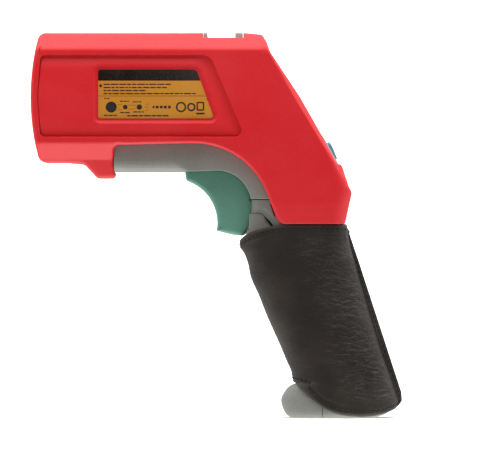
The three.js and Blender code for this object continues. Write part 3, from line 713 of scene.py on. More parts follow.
class Effects:
    """The shader groups that the finishes share, each built once."""

    def __init__(self) -> None:
        self.grain = self.build_grain()
        self.wear = self.build_wear()
        self.dust = self.build_dust()
        self.hide = self.build_hide()

    @staticmethod
    def build_grain() -> bpy.types.NodeTree:
        """Spark-eroded mould texture: fine cells and grit as height, and slow clouds as tone."""
        n = Group("mould_grain", ("Height", "Tone"), Size=3000.0)
        where, size = n.where, n.given["Size"]
        cells = n.add("TexVoronoi", {"Vector": where, "Scale": size}, feature="SMOOTH_F1")
        grit = n.add("TexNoise", {"Vector": where, "Scale": n.product(size, 0.6), "Detail": 4.0})
        height = n.scaled(cells.outputs["Distance"], 0.6, grit.outputs[0])
        clouds = n.add("TexNoise", {"Vector": where, "Scale": 32.0, "Detail": 3.0, "Roughness": 0.55})
        specks = n.add("TexNoise", {"Vector": where, "Scale": 900.0, "Detail": 2.0})
        tone = n.scaled(specks.outputs[0], 0.35, n.product(clouds.outputs[0], 0.65))
        return n.give(Height=height, Tone=tone)

    @staticmethod
    def build_wear() -> bpy.types.NodeTree:
        """Rubbed edges: where a rounded normal leaves the true one, broken up by noise."""
        n = Group("rubbed_edges", ("Mask",), Radius=0.0007)
        bevel = n.add("Bevel", {"Radius": n.given["Radius"]}, samples=4)
        true = n.add("NewGeometry")
        both = {0: bevel.outputs[0], 1: true.outputs["Normal"]}
        agreement = n.add("VectorMath", both, operation="DOT_PRODUCT")
        edge = n.ramp(agreement.outputs["Value"], 0.93, 0.72)
        patchy = n.add("TexNoise", {"Vector": n.where, "Scale": 260.0, "Detail": 5.0})
        mask = n.product(edge, n.ramp(patchy.outputs[0], 0.42, 0.66))
        return n.give(Mask=mask)

    @staticmethod
    def build_dust() -> bpy.types.NodeTree:
        """Handling marks and dust: faint on all faces, more on those that look up."""
        n = Group("settled_dust", ("Mask",))
        true = n.add("NewGeometry")
        parts = n.add("SeparateXYZ", {0: true.outputs["Normal"]})
        upward = n.ramp(parts.outputs["Z"], 0.2, 1.0, 0.25, 1.0)
        smears = n.add("TexNoise", {"Vector": n.where, "Scale": 70.0, "Detail": 6.0, "Roughness": 0.7})
        specks = n.add("TexVoronoi", {"Vector": n.where, "Scale": 420.0})
        speck = n.ramp(specks.outputs["Distance"], 0.16, 0.04)
        both = n.math("MAXIMUM", n.ramp(smears.outputs[0], 0.5, 0.85), n.product(speck, 0.5))
        return n.give(Mask=n.product(both, upward))

    @staticmethod
    def build_hide() -> bpy.types.NodeTree:
        """Leather grain: pebbles between fine creases, and short folds round the grip where it crumples."""
        n = Group("hide_grain", ("Height", "Crease", "Tone"), Crumple=0.0)
        bend = n.add("TexNoise", {"Vector": n.where, "Scale": 180.0, "Detail": 3.0})
        shift = n.add("VectorMath", {0: bend.outputs["Color"], 1: (0.5, 0.5, 0.5)}, operation="SUBTRACT")
        small = n.add("VectorMath", {0: shift.outputs[0], "Scale": 0.004}, operation="SCALE")
        moved = n.add("VectorMath", {0: n.where, 1: small.outputs[0]}, operation="ADD")
        flat = n.add("Mapping", {"Vector": moved.outputs[0], "Scale": (0.7, 0.7, 1.25)})
        pebble = n.add("TexVoronoi", {"Vector": flat.outputs[0], "Scale": 620.0}, feature="SMOOTH_F1")
        edges = n.add("TexVoronoi", {"Vector": flat.outputs[0], "Scale": 620.0}, feature="DISTANCE_TO_EDGE")
        crease = n.ramp(edges.outputs["Distance"], 0.12, 0.0)
        pores = n.add("TexNoise", {"Vector": flat.outputs[0], "Scale": 2600.0, "Detail": 3.0})
        drawn = n.add("Mapping", {"Vector": moved.outputs[0], "Scale": (0.27, 0.27, 1.0)})
        folds = n.add("TexNoise", {"Vector": drawn.outputs[0], "Scale": 560.0, "Detail": 2.0,
                                   "Roughness": 0.5, "Distortion": 0.4})
        high = n.scaled(pebble.outputs["Distance"], -0.22, n.product(pores.outputs[0], 0.1))
        high = n.scaled(crease, -0.1, high)
        share = n.scaled(n.given["Crumple"], 1.5, 0.12)
        high = n.scaled(n.ramp(folds.outputs[0], 0.32, 0.68), share, high)
        clouds = n.add("TexNoise", {"Vector": n.where, "Scale": 60.0, "Detail": 4.0})
        return n.give(Height=high, Crease=crease, Tone=clouds.outputs[0])


@dataclass(frozen=True)
class Finish:
    """A moulded, machined or painted surface with grain, clouded tone, rubbed edges and dust."""

    name: str
    colour: tuple[int, int, int]
    roughness: float = 0.45
    metallic: float = 0.0
    grain: float = 0.12
    grain_size: float = 3000.0
    clouds: float = 0.10
    worn: tuple[int, int, int] | None = None
    wear: float = 0.35
    dust: float = 0.10
    coat: float = 0.0
    specular: float = 0.28

    def colour_source(self, nodes: Nodes, where: bpy.types.NodeSocket) -> object:
        """The colour before tone, wear and dust; a subclass may draw a pattern."""
        return linear(*self.colour)

    def build(self, effects: Effects) -> bpy.types.Material:
        """Makes the material.

        Args:
            effects: the shared groups.

        Returns:
            The material.
        """
        material, n, where = new_material(self.name)
        grain = n.group(effects.grain, {"Vector": where, "Size": self.grain_size})
        dust = n.group(effects.dust, {"Vector": where})
        base = self.colour_source(n, where)
        low = n.mix(1.0, base, (1 - self.clouds,) * 3 + (1.0,), "MULTIPLY")
        high = n.mix(self.clouds * 0.5, base, (1.0, 1.0, 1.0, 1.0))
        colour = n.mix(n.ramp(grain.outputs["Tone"], 0.3, 0.7), low, high)
        rough = n.scaled(grain.outputs["Tone"], 0.16, self.roughness - 0.08)
        if self.worn:
            wear = n.group(effects.wear, {"Vector": where})
            rubbed = n.product(wear.outputs["Mask"], self.wear)
            colour = n.mix(rubbed, colour, linear(*self.worn))
            rough = n.scaled(rubbed, -0.12, rough)
        dusty = n.product(dust.outputs["Mask"], self.dust)
        colour = n.mix(dusty, colour, DUST)
        rough = n.scaled(dusty, 0.5, rough, clamp=True)
        bump = n.add("Bump", {"Height": grain.outputs["Height"], "Strength": self.grain, "Distance": 0.0001})
        n.surface(Base_Color=colour, Roughness=rough, Metallic=self.metallic, Coat_Weight=self.coat,
                  Coat_Roughness=COAT_ROUGHNESS, Specular_IOR_Level=self.specular, Normal=bump.outputs[0])
        return material


@dataclass(frozen=True)
class LabelFinish(Finish):
    """Printed foil: a dark header over an amber field, split at a height."""

    header: tuple[int, int, int] = (26, 17, 14)
    split: float = 0.1676
    plain: bool = False

    def colour_source(self, nodes: Nodes, where: bpy.types.NodeSocket) -> object:
        """Dark above the split height and amber under it."""
        if self.plain:
            return linear(*self.colour)
        height = nodes.add("SeparateXYZ", {0: where}).outputs["Z"]
        above = nodes.math("GREATER_THAN", height, self.split)
        return nodes.mix(above, linear(*self.colour), linear(*self.header))


@dataclass(frozen=True)
class BoardFinish(Finish):
    """Circuit board: green lacquer with copper tracks and pads under it."""

    copper: tuple[int, int, int] = (92, 128, 60)

    def colour_source(self, nodes: Nodes, where: bpy.types.NodeSocket) -> object:
        """Square-edged tracks from a grid of cells, over the lacquer's green."""
        cells = nodes.add("TexVoronoi", {"Vector": where, "Scale": 420.0}, distance="CHEBYCHEV")
        tracks = nodes.ramp(cells.outputs["Distance"], 0.5, 0.42)
        return nodes.mix(tracks, linear(*self.copper), linear(*self.colour))


@dataclass(frozen=True)
class Leather:
    """Dyed cowhide: brown-black, with pebbles and creases, lighter where it is rubbed and where a highlight
    is painted on.
    """

    name: str = "brown_black_leather"
    deep: tuple[int, int, int] = (31, 25, 21)
    colour: tuple[int, int, int] = (43, 36, 31)
    # The colour that the sleeve's mask lightens towards: rubbed hide, and painted highlight.
    rubbed: tuple[int, int, int] = (84, 79, 71)
    roughness: float = 0.5
    specular: float = 0.3

    def build(self, effects: Effects) -> bpy.types.Material:
        """Makes the material from the hide grain, the sleeve's own mask of rubbing and painted highlight, and
        dust.

        Args:
            effects: the shared groups.

        Returns:
            The material.
        """
        material, n, where = new_material(self.name)
        crumple = n.add("Attribute", attribute_name="crumple").outputs["Fac"]
        hide = n.group(effects.hide, {"Vector": where, "Crumple": crumple})
        dust = n.group(effects.dust, {"Vector": where})
        rub_and_highlight = n.add("Attribute", attribute_name="rub_and_highlight").outputs["Fac"]
        tone = n.ramp(hide.outputs["Tone"], 0.35, 0.7)
        colour = n.mix(tone, linear(*self.deep), linear(*self.colour))
        colour = n.mix(n.product(hide.outputs["Crease"], 0.35), colour, linear(*self.deep))
        # The sleeve's mask lightens the hide: rubbing, and painted highlight along the front, on the wrinkle
        # crests and over the flange.
        worn = n.product(rub_and_highlight, n.scaled(tone, 0.5, 0.5), clamp=True)
        colour = n.mix(worn, colour, linear(*self.rubbed))
        colour = n.mix(n.product(dust.outputs["Mask"], 0.08), colour, HIDE_DUST)
        rough = n.scaled(hide.outputs["Tone"], -0.3, self.roughness + 0.15)
        rough = n.scaled(hide.outputs["Crease"], 0.2, rough, clamp=True)
        bump = n.add("Bump", {"Height": hide.outputs["Height"], "Strength": 0.6, "Distance": 0.0005})
        n.surface(Base_Color=colour, Roughness=rough, Specular_IOR_Level=self.specular,
                  Normal=bump.outputs[0])
        return material


@dataclass(frozen=True)
class Thread:
    """Twisted waxed sewing thread."""

    name: str = "waxed_thread"
    colour: tuple[int, int, int] = (24, 22, 21)
    hollow: tuple[int, int, int] = (14, 13, 12)
    roughness: float = 0.6

    def build(self, effects: Effects) -> bpy.types.Material:
        """Makes the material: a fine diagonal twist as height and tone."""
        material, n, where = new_material(self.name)
        slanted = n.add("Mapping", {"Vector": where, "Rotation": (0.6, 0.5, 0.4)})
        twist = n.add("TexWave", {"Vector": slanted.outputs[0], "Scale": 900.0, "Distortion": 1.5})
        dust = n.group(effects.dust, {"Vector": where})
        colour = n.mix(twist.outputs["Fac"], linear(*self.hollow), linear(*self.colour))
        colour = n.mix(n.product(dust.outputs["Mask"], 0.1), colour, HIDE_DUST)
        bump = n.add("Bump", {"Height": twist.outputs["Fac"], "Strength": 0.5, "Distance": 0.0001})
        n.surface(Base_Color=colour, Roughness=self.roughness, Normal=bump.outputs[0])
        return material


@dataclass(frozen=True)
class Glass:
    """Clear or coated glass or acrylic with faint smears on its gloss."""

    name: str
    colour: tuple[int, int, int] = (235, 240, 240)
    transmission: float = 1.0
    ior: float = 1.49
    roughness: float = 0.03
    metallic: float = 0.0

    def build(self, effects: Effects) -> bpy.types.Material:
        """Makes the material; the smears raise the roughness a little."""
        material, n, where = new_material(self.name)
        dust = n.group(effects.dust, {"Vector": where})
        rough = n.scaled(dust.outputs["Mask"], 0.12, self.roughness)
        colour = n.mix(n.product(dust.outputs["Mask"], 0.05), linear(*self.colour), GLASS_DUST)
        n.surface(Base_Color=colour, Roughness=rough, Metallic=self.metallic, IOR=self.ior,
                  Transmission_Weight=self.transmission)
        return material


class Finishes:
    """Every material of the thermometer, made once from the shared effects."""

    def __init__(self) -> None:
        fx = Effects()
        self.red = Finish("red_case", (220, 28, 36), 0.42, worn=(236, 110, 104), wear=0.22, grain=0.16,
                          clouds=0.025, dust=0.035).build(fx)
        self.grey = Finish("grey_frame", (136, 138, 130), 0.5, worn=(168, 166, 158), grain=0.18).build(fx)
        self.green = Finish("green_trigger", (90, 150, 128), 0.42, worn=(120, 160, 146), wear=0.25,
                            dust=0.06).build(fx)
        self.black = Finish("black_plastic", (27, 27, 29), 0.5, worn=(70, 70, 72), wear=0.3).build(fx)
        self.leather = Leather().build(fx)
        self.thread = Thread().build(fx)
        self.label = LabelFinish("amber_label", (206, 136, 40), 0.4, grain=0.03, dust=0.05,
                                 clouds=0.06, specular=0.1).build(fx)
        self.blank = LabelFinish("blank_label", (196, 196, 190), 0.4, grain=0.03, plain=True).build(fx)
        self.ink = Finish("label_ink", (34, 26, 20), 0.45, grain=0.03, clouds=0.05, dust=0.05).build(fx)
        self.print = Finish("label_print", (158, 108, 42), 0.45, grain=0.03, clouds=0.05).build(fx)
        self.pale = Finish("pale_plastic", (176, 188, 180), 0.45, worn=(210, 216, 210)).build(fx)
        self.blue = Finish("blue_key", (84, 138, 172), 0.45, worn=(150, 184, 204)).build(fx)
        self.mark = Finish("key_mark", (238, 240, 240), 0.5, grain=0.05).build(fx)
        self.board = BoardFinish("circuit_board", (20, 74, 38), 0.35, coat=0.4).build(fx)
        self.rubber = Finish("dark_rubber", (52, 54, 56), 0.8, grain=0.3, specular=0.3).build(fx)
        self.steel = Finish("steel", (186, 188, 192), 0.3, metallic=1.0, grain=0.06).build(fx)
        self.brass = Finish("brass", (190, 152, 72), 0.32, metallic=1.0, grain=0.06).build(fx)
        self.cell = Finish("cell_wrap", (36, 86, 140), 0.3, coat=0.5).build(fx)
        self.wire_red = Finish("wire_red", (176, 24, 24), 0.45).build(fx)
        self.wire_black = Finish("wire_black", (22, 22, 22), 0.45).build(fx)
        self.window = Glass("clear_window").build(fx)
        self.lcd = Finish("lcd", (112, 124, 106), 0.22, grain=0.02, clouds=0.05, coat=0.6).build(fx)
        self.lens = Glass("lens", (150, 120, 170), 0.0, 2.4, 0.05, 0.0).build(fx)


# -------------------- red housing

HOUSING_CORNERS: list[Corner] = [
    (-147, 127, 4.3),
    *arc(-30, 159.5, 121, 193.6, 166.4, 22),
    (-147, 191.5, 4),
    (-44.9, 191.5, 0), (-36, 190.7, 2), (-33.8, 187, 3),
    SLOPE.side_point(-1, 0.6), SLOPE.side_point(25.5, 1.95), SLOPE.side_point(49, 1.5),
    SLOPE.side_point(63.6, 0.9), SLOPE.side_point(65.2, 2.4), SLOPE.side_point(67.2, 2.2),
    SLOPE.side_point(76.5, 0.1),
    (8.75, 112.2, 3), (5.4, 96.5, 1.2), (-27.8, 96.5, 5), (-43.3, 137.1, 39), (-109.9, 135.8, 3),
    (-109, 119.2, 2), (-118, 119.2, 2), (-124.5, 126.2, 5), (-134, 127, 0),
]
SADDLE: list[Corner] = [(-65.4, 191.5, 0), (-65.4, 189.15, 0), (-45.3, 189.15, 0), (-45.3, 191.5, 0)]
PANEL_CORNERS: list[Corner] = [
    (-146.1, 139.8, 2.4), (-147.6, 160, 30), (-145.9, 180.3, 2.4), (-62.0, 180.3, 5), (-44.7, 139.8, 3.2),
]
LABEL_CORNERS: list[Corner] = [
    (-117.5, 148.75, 1.4), (-117.5, 173.2, 1.4), (-68.6, 173.2, 2.6), (-59.7, 148.75, 1.6),
]


@dataclass
class Housing:
    """The red clamshell, the plate on each of its sides, and their labels."""

    half_width: float = 27.5
    wall: float = 2.4
    side_wall: float = 3.4
    crease_z: float = 183.3
    arch_edge: float = 1.9
    front_edge: float = 2.2
    slope_edge: float = 1.3
    panel_gap: float = 0.24
    panel_depth: float = 1.9
    label_depth: float = 1.5
    mouth_radius: float = 22.8
    optics_z: float = 159.3
    room_gap: float = 0.3
    socket_radius: float = 1.2
    screw_places: tuple[tuple[float, float], ...] = (
        (-88, 147), (-88, 175), (-38, 152), (-16, 121), (-114.5, 126.5))

    def side_height(self, points: Array) -> Array:
        """Half width at side-view points.

        A wide barrel that narrows as the square of the distance from z 150; a flat top chamfer; two lower
        chamfers under the muzzle; a crown along the rear slope; a bevel over the rear foot; and a corner
        of radius 8 down the back of the foot.
        """
        x, z = points[:, 0], points[:, 1]
        height = self.half_width - 0.0011 * np.maximum(z - 150, 0) ** 2 - 0.0020 * np.maximum(150 - z, 0) ** 2
        height = soft_min(height, 26.27 - 0.93 * (z - self.crease_z), 0.9)
        low = np.maximum(27.0 - 0.915 * (136.7 - z), 19.5 - 0.474 * (128.5 - z))
        height = soft_min(height, low + 25 * smooth_step(x, -106, -99), 0.9)
        height = soft_min(height, 22.5 + 1.72 * (2.5 - SLOPE.out_of(points)), 0.9)
        foot = 22.6 - 0.34 * (103.2 - z) + 20 * smooth_step(z, 105, 113) + 20 * smooth_step(-x, 36, 44)
        height = soft_min(height, foot, 0.8)
        down_back = 0.209 * (112.2 - z)
        depth = np.minimum((8.75 - down_back - x) * 0.979, -SLOPE.out_of(points) + 0.9)
        radius = 8.0 - 5.5 * smooth_step(z, 108, 135) - 2.4 * smooth_step(z, 135, 150)
        cut = np.clip(radius - depth, 0, radius)
        return height - radius + np.sqrt(np.maximum(radius ** 2 - cut ** 2, 0.04))

    def panel_height(self, points: Array) -> Array:
        """Half width over the side plate: the housing's, less a bevel along its foot and its rear end."""
        x, z = points[:, 0], points[:, 1]
        rear = (x + 44.7) * 0.9194 + (z - 139.8) * 0.3927
        bevel = np.maximum(0.26 * (146.2 - z), 0.24 * (rear + 9.5))
        bevel = np.maximum(bevel, 0.25 * (z - 174.6))
        crown = 0.0013 * np.maximum(z - 155, 0) ** 2
        return self.side_height(points) + 0.05 - crown - np.maximum(bevel, 0)

    def edges(self, loop: Array) -> Array:
        """Rim radius at each point of the outline: wide on the muzzle and the arch, small elsewhere."""
        x, z = loop[:, 0], loop[:, 1]
        radius = np.full(len(loop), 0.9)
        arch = (z < 138) & (x > -112) & (x < -26) & (z > 96.8)
        radius[arch] = self.arch_edge
        radius[(x < -145.5) & (z > 127)] = self.front_edge
        radius[(z < 127.2) & (x < -111)] = 1.5
        radius[(SLOPE.out_of(loop) > -0.6) & (z > 114) & (z < 187)] = self.slope_edge
        radius[(z < 112) & (x > -26)] = 0.5
        radius[(z > 188) & (x > -70) & (x < -40)] = 0.4
        for _ in range(3):
            radius = (np.roll(radius, 1) + radius + np.roll(radius, -1)) / 3
        return radius

    def outline(self) -> Array:
        """The side view's outline with the saddle notch."""
        corners = list(HOUSING_CORNERS)
        at = next(i for i, c in enumerate(corners) if c[0] == -44.9)
        return refined(rounded([*corners[:at], *SADDLE, *corners[at:]]), 1.6)

    def panel_loop(self, shrink: float) -> Array:
        """The side plate's outline, moved inwards."""
        return refined(rounded(shrunk(PANEL_CORNERS, shrink)), 1.6)

    def label_loop(self, shrink: float) -> Array:
        """The label's outline, moved inwards."""
        return refined(rounded(shrunk(LABEL_CORNERS, shrink)), 1.6)

    def half(self) -> Skin:
        """The left half as a shell, before its openings are cut."""
        loop = self.outline()
        hollow = rounded(shrunk(HOUSING_CORNERS, self.wall), 0.3)
        hollow[:, 1] = np.minimum(hollow[:, 1], 185.2)
        zs = np.concatenate([np.arange(98, 191, 1.7), near_lines([self.crease_z, 136.6, 128.5, 103.2])])
        spots = lattice(np.arange(-151, 9, 1.7), np.unique(np.round(zs, 3)))
        along = np.arange(0, 78, 1.7)
        crown = np.vstack([
            np.array([SLOPE.side_point(a, -depth)[:2] for a in along]) for depth in (0.6, 1.2, 1.8, 2.6)])
        spots = np.vstack([spots[-SLOPE.out_of(spots) > 3.2], crown])
        pocket = Recess(self.panel_loop(0), self.panel_depth, lip_radius=0.28, spacing=4.0)
        skin = relief(loop, self.side_height, self.edges(loop), 0.1, 0.2, spots, [pocket],
                      Cavity(refined(hollow, 4.0), self.side_wall))
        return Skin().add(skin, left_side)

    def openings(self) -> Skin:
        """Everything that is cut from both halves for the muzzle, the display, the keypad and the shoe."""
        tools = Skin()
        radius = self.mouth_radius
        mouth = [(0, -160, 0), (25.2, -160, 0), (radius + 0.9, -150.1, 0), (radius, -149, 0),
                 (radius, -138, 0), (0, -138, 0)]
        tools.add(turned(mouth, (0, 0, self.optics_z), Axis.X))
        display = rounded([(5, -20, 2.4), (41, -20, 2.4), (41, 20, 2.4), (5, 20, 2.4)])
        tools.add(prism(display, [(-9, 0), (1.0, 0), (1.6, 0.25), (5, 1.6)]), SLOPE.place)
        keypad = box_outline(47.1, 65.1, -19.3, 19.3, 2.6)
        tools.add(prism(keypad, [(0.2, 0), (1.2, 0), (5, 1.2)]), SLOPE.place)
        tools.add(prism(box_outline(49.3, 62.9, -17.1, 17.1, 1.5), [(-9, 0), (0.6, 0)]), SLOPE.place)
        shoe = box_outline(-65.35, -45.35, -17.8, 17.8, 0.8)
        tools.add(prism(shoe, [(187.6, 0), (193, 0)]))
        return tools

    def lower_rooms(self) -> Skin:
        """Room for the under-frame, cut from both halves."""
        half = UnderFrame.half_width + self.room_gap
        room = rounded(shrunk(UNDERFRAME_CORNERS, -self.room_gap))
        return Skin().add(prism(room, [(-half, 0), (half, 0)]), right_side)

    def grip_room(self) -> Skin:
        """Room for the grip's neck and the trigger's sweep."""
        return Grip().form(self.room_gap + 0.1, extra_top=3.0)

    def screw_wells(self) -> Skin:
        """Wells of the case screws, on the right side only."""
        tools = Skin()
        for x, z in self.screw_places:
            well = [(0, 11.7, 0), (3.0, 11.7, 0), (3.0, 24.6, 0), (3.5, 40, 0), (0, 40, 0)]
            tools.add(turned(well, (x, 0, z), Axis.Y, 40))
        return tools

    def panel(self) -> Skin:
        """The left side plate, with the label's recess."""
        loop = self.panel_loop(self.panel_gap)
        zs = np.concatenate([np.arange(140, 181, 1.7), near_lines([146.2])])
        spots = lattice(np.arange(-148, -44, 1.7), zs)
        recess = Recess(self.label_loop(-1.9), self.label_depth, lip_radius=0.8, lean=1.75, spacing=4.0)
        skin = relief(loop, self.panel_height, 0.45, lambda p: self.panel_height(p) - 1.72 + self.bevel_of(p),
                      0.15, spots, [recess], arc_steps=4)
        return Skin().add(skin, left_side)

    def bevel_of(self, points: Array) -> Array:
        """Half of how far the side plate's bevels fall, so that its back keeps off the pocket's floor."""
        return np.maximum(self.side_height(points) - self.panel_height(points), 0) * 0.9

    def label_height(self, points: Array) -> Array:
        """Half width at the label's face."""
        return self.panel_height(points) - self.label_depth + 0.28

    def label(self) -> Skin:
        """The left label."""
        loop = self.label_loop(0.1)
        spots = lattice(np.arange(-118, -60, 3.0), np.arange(149, 174, 3.0))
        skin = relief(loop, self.label_height, 0.06, lambda p: self.label_height(p) - 0.24, 0.05, spots,
                      arc_steps=2)
        return Skin().add(skin, left_side)

    def build(self, look: Finishes) -> None:
        """Makes and dresses the halves, plates and labels."""
        shell = self.half().mesh("housing_shell_left", 24)
        for tools in (self.openings(), self.lower_rooms(), self.grip_room()):
            shell = carved(shell, tools, 24)
        shell.name = "housing_shell_left"
        other = carved(mirrored(shell, "housing_shell_right"), self.screw_wells(), 24)
        other.name = "housing_shell_right"
        make_piece(shell, "case", "red_case", look.red, "housing_left")
        make_piece(other, "case", "red_case", look.red, "housing_right")
        plate = self.panel().mesh("side_plate_left", 30)
        make_piece(plate, "case", "red_case", look.red, "side_panel_left")
        make_piece(mirrored(plate, "side_plate_right"), "case", "red_case", look.red, "side_panel_right")
        label = self.label().mesh("amber_label", 30)
        make_piece(label, "case", "amber_label", look.label, "rating_label")
        make_piece(mirrored(label, "plain_label"), "case", "amber_label", look.blank, "blank_label")
        LabelPrint(self.label_height).build(look)
        self.screws(look)

    def screws(self, look: Finishes) -> None:
        """Five socket screws: a domed head with a six-sided socket."""
        u = np.linspace(0, 2 * math.pi, 48, endpoint=False)
        side = math.pi / 3
        flats = self.socket_radius * math.cos(side / 2)
        socket = flats / np.cos((u + side / 2) % side - side / 2)
        head = [(0.0, -10.0), (1.4, -10.0), (1.4, 12.0), (2.3, 12.0), (2.65, 12.2), (2.7, 12.5), (2.7, 13.5),
                (2.55, 13.8), (2.2, 13.95)]
        hole = [(socket * 1.08, 14.0), (socket, 13.9), (socket * 0.98, 12.9), (socket * 0, 12.7)]
        rows = [np.stack([np.cos(u) * r, np.full_like(u, y), np.sin(u) * r], axis=1) for r, y in head + hole]
        screws = Skin()
        for x, z in self.screw_places:
            screws.grid(np.stack(rows) + np.array([x, 0, z]), ring=True)
        make_piece(screws.mesh("case_screws", 30), "case", "steel", look.steel,
                   *(f"housing_screw_{i}" for i in range(1, 6)))


@dataclass
class LabelPrint:
    """Plain printed marks on the left label: rows of dashes, dots on a line, and simple outlines."""

    face: Height
    proud: float = 0.03
    shift: tuple[float, float, float] = (0.45, -0.5, 0.0)
    rng: np.random.Generator = field(default_factory=lambda: np.random.default_rng(RNG_SEED))

    def dashes(self, x0: float, x1: float, z: float, tall: float, mean: float) -> Array:
        """Boxes (n, 4) of x0, x1, z0, z1 along a row, like words of different lengths."""
        lengths = self.rng.uniform(0.5, 1.6, int((x1 - x0) / mean) + 6) * mean
        starts = x0 + np.concatenate([[0], np.cumsum(lengths + 0.28 * tall + 0.25)[:-1]])
        keep = starts + lengths < x1
        starts, lengths = starts[keep], lengths[keep]
        return np.stack([starts, starts + lengths, np.full_like(starts, z - tall / 2),
                         np.full_like(starts, z + tall / 2)], axis=1)

    def boxes(self, spans: Array) -> Skin:
        """Thin closed boxes on the label's face, one for each row of spans."""
        x = spans[:, [0, 1, 1, 0]]
        z = spans[:, [2, 2, 3, 3]]
        top = self.face(np.stack([x.ravel(), z.ravel()], axis=1)).reshape(x.shape) + self.proud
        low = np.stack([x, z, top - 0.1], axis=-1)
        high = np.stack([x, z, top], axis=-1)
        points = np.concatenate([low, high], axis=1).reshape(-1, 3)
        base = np.arange(len(spans))[:, None] * 8
        sides = [(0, 1, 2, 3), (4, 5, 6, 7), (0, 1, 5, 4), (1, 2, 6, 5), (2, 3, 7, 6), (3, 0, 4, 7)]
        faces = np.concatenate([base + np.array(side) for side in sides])
        return Skin().patch(points, faces)

    def disc(self, x: float, z: float, radius: float) -> Skin:
        """A dot."""
        return relief(self.circle(x, z, radius, 32), lambda p: self.face(p) + self.proud, 0.02,
                      lambda p: self.face(p) - 0.05, 0.0, arc_steps=1)

    def outlined(self, loop: Array, width: float) -> Skin:
        """A closed line of the given width along a loop."""
        rows = []
        for step, lift in ((0, -0.05), (0, self.proud), (width, self.proud), (width, -0.05)):
            ring = inset(loop, step)
            rows.append(np.column_stack([ring, self.face(ring) + lift]))
        return Skin().grid(np.stack(rows), ring=True, loop=True)

    @staticmethod
    def circle(x: float, z: float, radius: float, count: int = 36) -> Array:
        """A circle's points."""
        a = np.linspace(0, 2 * math.pi, count, endpoint=False)
        return np.stack([x + radius * np.cos(a), z + radius * np.sin(a)], axis=1)

    def build(self, look: Finishes) -> None:
        """Makes the dark print on the amber field and the amber print on the header."""
        dark = Skin()
        rows = [self.dashes(-115.2, -80, 166.3, 0.62, 2.6), self.dashes(-115.2, -83, 164.7, 0.62, 2.2),
                self.dashes(-115.2, -93.5, 163.2, 0.62, 2.3), self.dashes(-115.2, -69.2, 161.7, 0.62, 2.4),
                self.dashes(-114.8, -109.8, 159.3, 0.55, 1.6), self.dashes(-107, -101.5, 157.9, 0.55, 1.6),
                self.dashes(-100.6, -95, 157.6, 0.55, 1.6), self.dashes(-115, -108.4, 150.9, 0.55, 1.7),
                self.dashes(-107, -101.4, 152.3, 0.55, 1.6), self.dashes(-100.4, -94.8, 152.6, 0.55, 1.6),
                self.dashes(-103.4, -80, 150.7, 0.62, 2.1), self.dashes(-90.8, -81, 155.0, 1.3, 1.1),
                np.array([[-117.6, -64.4, 160.4, 160.6], [-94.6, -92.8, 154.9, 155.1],
                          [-94.2, -92.6, 156.4, 156.55], [-94.2, -92.6, 153.5, 153.65],
                          [-69.2, -65.0, 151.4, 152.2], [-108.3, -105.8, 156.3, 156.42],
                          [-108.3, -105.8, 153.6, 153.72], [-103, -98.8, 155.9, 156.02],
                          [-103, -98.8, 154.0, 154.12]])]
        dark.add(self.boxes(np.vstack(rows)))
        for x, radius in ((-111.35, 2.75), (-104.4, 1.15), (-97.4, 1.35)):
            dark.add(self.disc(x, 155.0, radius))
        dark.add(self.disc(-116.6, 165.6, 0.75))
        dark.add(self.outlined(self.circle(-76.7, 155.0, 2.6), 0.8))
        dark.add(self.outlined(self.circle(-71.6, 155.0, 2.1), 0.8))
        dark.add(self.outlined(box_outline(-69.0, -65.2, 153.2, 157.6, 0.7), 0.7))
        bright = Skin()
        rows = [self.dashes(-114.8, -97.2, 172.1, 1.5, 1.5), self.dashes(-114.8, -85.5, 169.9, 0.42, 2.4),
                self.dashes(-114.8, -88.5, 168.6, 0.42, 2.2)]
        bright.add(self.boxes(np.vstack(rows)))
        diamond = np.array([(-83.2, 170.7), (-80.6, 168.2), (-78.0, 170.7), (-80.6, 173.2)])
        bright.add(self.outlined(refined(anticlockwise(diamond), 1), 0.28))
        bright.add(self.outlined(self.circle(-73.0, 170.7, 2.3), 0.28))
        bright.add(self.disc(-73.0, 170.7, 0.8))
        bright.add(self.disc(-80.6, 170.7, 0.45))
        arrow = anticlockwise(np.array([(-117.3, 170.6), (-115.6, 169.4), (-115.6, 171.8)]))
        bright.add(self.outlined(refined(arrow, 0.8), 0.25))
        for skin, name, finish in ((dark, "label_marks", look.ink), (bright, "header_marks", look.print)):
            placed = Skin().add(skin, lambda p: left_side(p + np.array(self.shift)))
            make_piece(placed.mesh(name, 40), "case", "amber_label", finish)


# -------------------- shoe, optics and rear controls

@dataclass
class Shoe:
    """Pale accessory rail in the saddle on top."""

    half_width: float = 17.4

    def build(self, look: Finishes) -> None:
        """Makes the rail: a floor between two cross bars, the same section right across."""
        section = refined(rounded([
            (-65.1, 187.9, 0.3), (-45.6, 187.9, 0.3), (-45.6, 191.6, 0.45), (-49.4, 191.6, 0.45),
            (-49.4, 189.3, 0), (-63.2, 189.3, 0), (-63.2, 191.6, 0.45), (-65.1, 191.6, 0.45),
        ]), 1.5)
        rail = two_sided(section, self.half_width, 0.25).mesh("accessory_rail", 35)
        make_piece(rail, "case", "pale_plastic", look.pale, "accessory_shoe")


